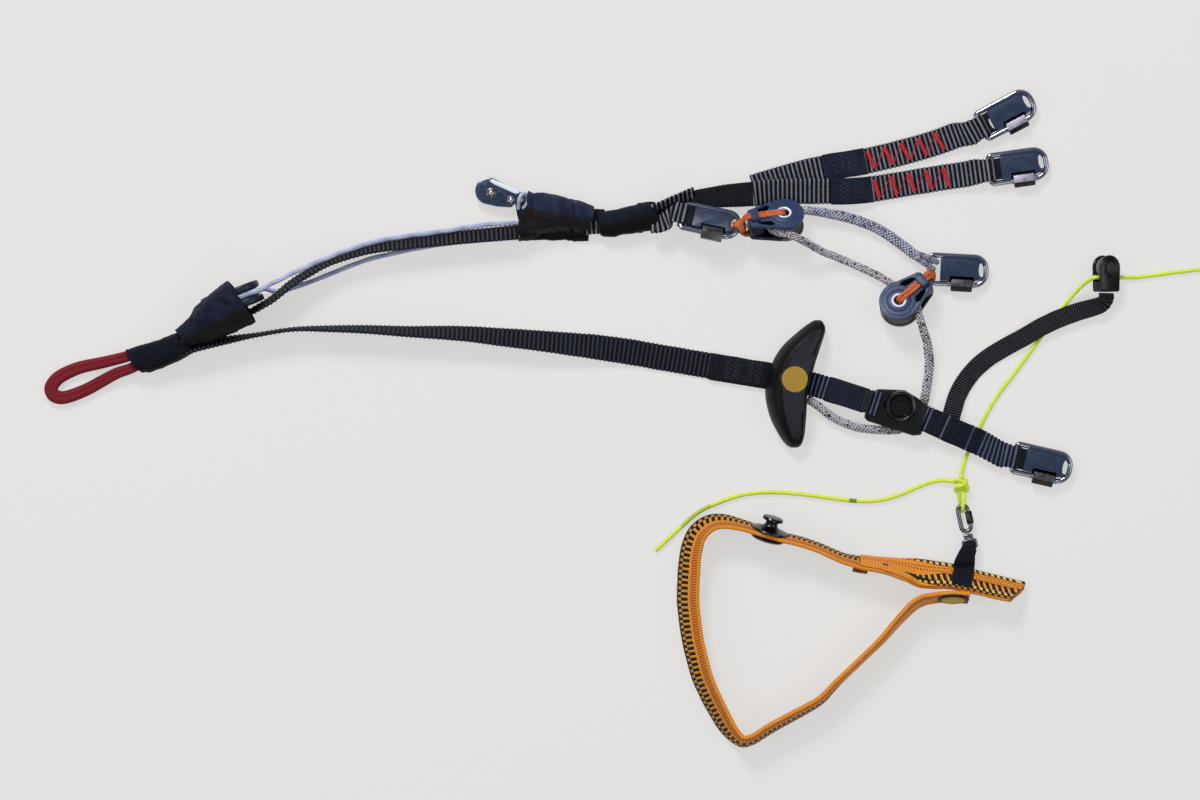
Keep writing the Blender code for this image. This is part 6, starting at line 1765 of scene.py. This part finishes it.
def make_brake_pulley():
    """Small black pulley with its wheel, on its narrow tape."""
    matrix = brake_frame()
    outline = arc((0, 0), 6.75, 90, 270, 30) + [(12.4, -6.35), (13.0, -5.35), (13.0, 5.35), (12.4, 6.35)]
    parts = []
    for way in (1, -1):
        low, high = sorted((way * 2.1, way * 4.0))
        parts.append(rounded(prism(f"brake_cheek_{way}", outline, low, high, BLACK_GLOSS), 0.75, matrix))
    parts.append(rounded(block("brake_head", (7.4, -6.2, -2.3), (12.8, 6.2, 2.3), BLACK_GLOSS), 0.5,
        matrix))
    pin = turned("brake_pin", [(0.01, -3.9), (1.5, -3.9), (1.5, 3.9), (0.01, 3.9)], STEEL, 24)
    cap = turned("brake_cap", [(0.01, 3.9), (3.1, 3.9), (3.1, 4.2), (2.6, 4.55), (0.01, 4.7)],
        BLACK_GRAIN, 40)
    ring = turned("brake_ring", [(3.5, 3.95), (5.4, 3.95), (5.4, 4.15), (5.1, 4.3), (3.8, 4.3),
        (3.5, 4.15)], BLACK_GLOSS, 48)
    parts += [seated(part, matrix) for part in (pin, cap, ring)]
    keep(joined("brake_pulley_cheeks", *parts), "plastic_black", "brake_pulley_frame")
    wheel = turned("brake_wheel_grooved", [(1.8, -1.8), (5.6, -1.8), (5.7, -1.6), (4.1, -0.8), (3.9, 0.0),
        (4.1, 0.8), (5.7, 1.6), (5.6, 1.8), (1.8, 1.8)], GREY_PLASTIC, 40)
    keep(seated(wheel, matrix), "plastic_grey", "brake_pulley_sheave", body="brake_wheel")

    route = [(198.6, -4.2, 0, 2.9), (200.4, 3.0, 0, 2.6), (203.4, 12.2, 0, 0.6), (209.5, 22.4, 0, 0.2),
        (217.8, 30.7, 0, 0.2), (228.2, 37.4, 0, 0.6), (240.5, 44.2, 0, 2.6), (248.3, 48.8, 0, 3.0),
        (258.0, 53.4, 0, 3.0), (268.0, 57.0, 6, 3.0), (275.6, 59.2, 18, 3.2), (280.6, 61.0, 28, 3.8)]
    stations = web_stations(route, 10.0, 1.2, 5.0)
    level = (matrix.to_3x3() @ Vector((0, 1, 0))).normalized()
    if level.x > 0:
        level = -level
    for end in (63.6, 67.2):
        stations.append((Vector((BRAKE_HUB[0], end, BRAKE_HUB[2])), level, 10.0, 1.2))
    keep(strap("brake_strap_tape", fine_stations(stations, 0.3), FINE_WEB, 1.25, 0.24, seed=51.0,
        wobble=0.1), "webbing_black", "brake_strap")


def make_link():
    """Small screw link with its sleeve nut, and the swivel under it."""
    outline = arc((4.4, 0), 2.6, -90, 90, 16) + arc((-4.4, 0), 2.6, 90, 270, 16)
    wire = tube("link_oval", [(x, y, 0) for x, y in outline], 2.5, LINK_STEEL, 16, closed=True)
    keep(seated(wire, LINK), "steel", "link_wire")
    turn = Matrix.Rotation(radians(90), 4, "Y")
    hexagon = arc((0, 0), 2.1, 0, 300, 5)
    nut = rounded(prism("link_sleeve", hexagon, -3.4, 3.4, DARK_STEEL), 0.25,
        LINK @ Matrix.Translation((0, 2.7 * MM, 0)) @ turn, 2)
    keep(nut, "steel", "link_nut")
    barrel = rounded(block("barrel", (8.6, -2.5, -2.0), (10.9, 2.5, 2.0), LINK_STEEL), 0.6, LINK)
    stem = turned("stem", [(0.01, 7.9), (0.9, 7.9), (0.9, 11.4), (0.01, 11.4)], STEEL, 20)
    keep(joined("swivel_body", barrel, seated(stem, LINK @ turn)), "steel", "swivel_barrel")
    near, far, half = 12.1 + 1.3, 16.1 - 1.3, 3.3 - 1.3
    ring = arc((far, half), 1.3, 0, 90, 8) + arc((near, half), 1.3, 90, 180, 8)
    ring += arc((near, -half), 1.3, 180, 270, 8) + arc((far, -half), 1.3, 270, 360, 8)
    eye = tube("swivel_ring", [(x, y, 0) for x, y in ring], 2.1, LINK_STEEL, 16, closed=True)
    keep(seated(eye, LINK), "steel", "swivel_eye")


TOGGLE_STATION = 0.36
TOGGLE_ROUTE = [(239.2, -95.0, 58, 0), (226.3, -92.4, 54, 0), (211.7, -88.9, 52, 0),
    (198.2, -85.9, 48, 0), (190.0, -85.2, 42, 0), (182.0, -84.0, 40, 0), (174.0, -82.3, 57, 0),
    (162.4, -80.0, 70, 0), (152.2, -78.5, 73, 0), (146.0, -77.2, 76, 0), (139.9, -75.4, 78, 0),
    (129.1, -70.6, 79, 0), (118.3, -66.9, 79, 0), (107.5, -64.3, 79, 0), (99.4, -62.1, 79, 0),
    (88.6, -58.5, 77, 0), (78.8, -56.2, 72, 0), (70.6, -56.6, 66, 0), (64.0, -61.0, 60, 0),
    (60.4, -68.0, 56, 0), (58.6, -78.4, 54, 0), (57.8, -98.6, 53, 0), (60.4, -120.2, 54, 0),
    (66.2, -141.8, 56, 0), (75.8, -161.4, 61, 0), (82.2, -170.6, 68, 0), (87.6, -174.4, 72, 0),
    (93.6, -172.6, 74, 0), (102.1, -167.2, 74, 0), (118.3, -158.4, 75, 0), (129.1, -152.0, 77, 0),
    (137.2, -143.6, 79, 0), (150.7, -130.6, 80, 0), (161.5, -120.2, 79, 0), (172.3, -108.0, 76, 0),
    (181.5, -99.6, 73, 0), (191.0, -97.0, 74, 0), (200.0, -96.5, 73, 0), (209.0, -97.0, 73, 0)]


def make_toggle():
    """Brake toggle: patterned webbing on its edge, its press stud, badge and tab."""
    coarse = web_stations(TOGGLE_ROUTE, 18.0, 2.5, 5.0)
    fine = fine_stations(coarse, TOGGLE_STATION)

    def slant(a):
        return (8.0 * ((a + 1) / 2) ** 1.3 + 1.5 * max(0.0, (-0.8 - a) / 0.2) ** 2) / TOGGLE_STATION
    base = strap("toggle_base", fine, LOOP_PATTERN, 1.47, 0.2, seed=61.0, wobble=0.3, cut=slant)
    last = nearest(fine, 150.5, -77.6)
    end = layer("toggle_end", fine, 0, last, 17.9, 0.9, END_PATTERN, height=0.2, spacing=1.68, cut=slant)
    marks = []
    at = nearest(fine, 163.4, -80.2)
    for n in range(9):
        place, along, side, face = on_strap(fine, at + n * 1.1 - 4, 2.0, 0.95)
        marks.append((place, side * 2.4, face))
    fold = web_stations([(146.6, -80.6, 52, 6.0), (150.0, -81.4, 52, 6.0), (154.4, -82.0, 52, 6.0)], 5.0,
        2.6, 2.0)
    fold = strap("toggle_fold", fine_stations(fold, TOGGLE_STATION), FOLD_WEB, 1.47, 0.2)
    keep(joined("toggle_web", base, end, fold, stitched("toggle_tacks", marks, 0.5, BROWN_THREAD)),
        "webbing_orange", "toggle_webbing")

    for name, node, at, profiles, material, slot in (("stud_body", "toggle_stud", (101.0, -62.7),
            [[(0.01, 1.75), (9.6, 1.75), (10.0, 2.2), (9.7, 2.8), (6.4, 3.5), (4.2, 4.5), (3.4, 5.8),
            (3.3, 6.9), (4.2, 7.6), (5.5, 8.0), (5.7, 8.9), (5.2, 9.7), (3.6, 9.95), (0.01, 9.95)]],
            BLACK_GLOSS, "plastic_black"), ("stud_washer", "toggle_stud_back", (101.0, -62.7),
            [[(0.01, -1.75), (9.0, -1.75), (9.1, -2.4), (8.0, -3.2), (0.01, -3.25)]], BLACK_GLOSS,
            "plastic_black"), ("toggle_badge_disc", "toggle_badge", (200.4, -96.5),
            [[(0.01, 1.65), (6.3, 1.65), (6.3, 2.5), (5.9, 2.85), (5.2, 2.7), (4.9, 2.4), (0.01, 2.5)],
            [(0.01, 1.6), (8.6, 1.6), (8.6, 1.9), (8.3, 2.1), (0.01, 2.1)]], BADGE_RUBBER,
            "badge_yellow")):
        k = nearest(fine, *at)
        centre, side, face, _, _ = fine[k]
        along = side.cross(face)
        matrix = Matrix((along, side, face)).transposed().to_4x4()
        matrix.translation = (centre + side * 1.2) * MM
        parts = []
        for n, profile in enumerate(profiles):
            part = turned(name + "_turned", profile, material if n == 0 else BLACK_GRIP, 48)
            parts.append(seated(part, matrix))
        keep(joined(name, *parts), slot, node)

    best = min(range(len(coarse)), key=lambda k: dist(coarse[k][0][:2], (206.5, -87.2)))
    centre, side = coarse[best][0], coarse[best][1]
    along = (coarse[best + 1][0] - coarse[best - 1][0]).normalized()
    face = along.cross(side).normalized()
    bar = in_mm(LINK) @ Vector((16.1, 0, 0))
    away = (in_mm(LINK).to_3x3() @ Vector((1, 0, 0))).normalized()
    cross = (in_mm(LINK).to_3x3() @ Vector((0, 1, 0))).normalized()
    rows = []
    for angle in (-50, -90, -130, -170, -210, -245, -280, -310):
        turn = radians(angle)
        rows.append((bar + 1.75 * (cos(turn) * away + sin(turn) * UP), cross, 3.8, 1.1))
    rows.append((Vector((208.9, -72.6, 5.2)), cross, 9.2, 1.2))
    rows.append((Vector((207.4, -75.6, 4.2)), cross, 10.8, 1.2))
    for step, width in ((-8.2, 11.2), (-5.0, 11.4), (-2.0, 11.3), (1.0, 11.3), (4.0, 11.0), (7.4, 10.4)):
        rows.append((centre + side * step + face * 2.75, -along, width, 1.1))
    tape = strap("toggle_tab_tape", fine_stations(rows, 0.35), TAB_WEB, 1.0, 0.05, seed=71.0)
    rows = [(Vector(place), cross, width, 1.0) for place, width in
        (((209.5, -66.9, 5.4), 5.2), ((209.1, -68.4, 6.7), 7.4), ((208.2, -71.4, 7.0), 9.6),
        ((207.1, -75.0, 6.2), 11.0), ((206.2, -78.4, 5.4), 11.4))]
    fold = strap("toggle_tab_fold", fine_stations(rows, 0.35), TAB_WEB, 1.0, 0.05, seed=72.0)
    keep(joined("toggle_tab_sewn", tape, fold), "webbing_black", "toggle_tab")


def grip_face_finish():
    """Grained face of the grip with a plain round badge printed on it."""
    material = moulded_plastic("black nylon, grained face with printed badge", "#0b0d14", 0.55, 0.0009,
        0.0004, 1.0, "#1c2029", 0.35)
    tree = material.node_tree
    shader = tree.nodes["Principled BSDF"]
    ground = shader.inputs["Base Color"].links[0].from_socket
    where = add(tree, "TexCoord")
    parts = add(tree, "SeparateXYZ", where.outputs["Object"])
    flat = add(tree, "CombineXYZ", parts.outputs[0], parts.outputs[1])
    away = add(tree, "VectorMath", flat, (*BADGE_CENTRE, 0.0), operation="DISTANCE")
    disc = add(tree, "MapRange", away.outputs["Value"], 0.00705, 0.00685)
    tone = add(tree, "Mix", disc, ground, linear("#a5822a"), data_type="RGBA")
    feed(tree, shader, ("Base Color", tone))
    return material


GRIP_FACE = grip_face_finish()
BADGE_RUBBER = moulded_plastic("olive-yellow rubber badge, moulded", "#c2a02c", 0.6, 0.0006, 0.0001, 0.6,
    "#a88a22")

make_stage()
make_free_cords()
make_knot()
make_control_line()
make_lashing("pulley1", PULLEY_ONE, in_mm(MAILLONS["b"]), 0.3, 1, 1.0)
make_lashing("pulley2", PULLEY_TWO, in_mm(MAILLONS["bc"]), -3.1, -1, 0.0)
make_hang_end()
make_speed_pouch()
make_sleeves()
make_long_straps()
make_line_straps()
make_c_straps()
for name, matrix in MAILLONS.items():
    make_maillon(name, matrix)
make_pulley("pulley1", PULLEY_ONE)
make_pulley("pulley2", PULLEY_TWO)
make_handle()
make_socket()
make_brake_pulley()
make_link()
make_toggle()
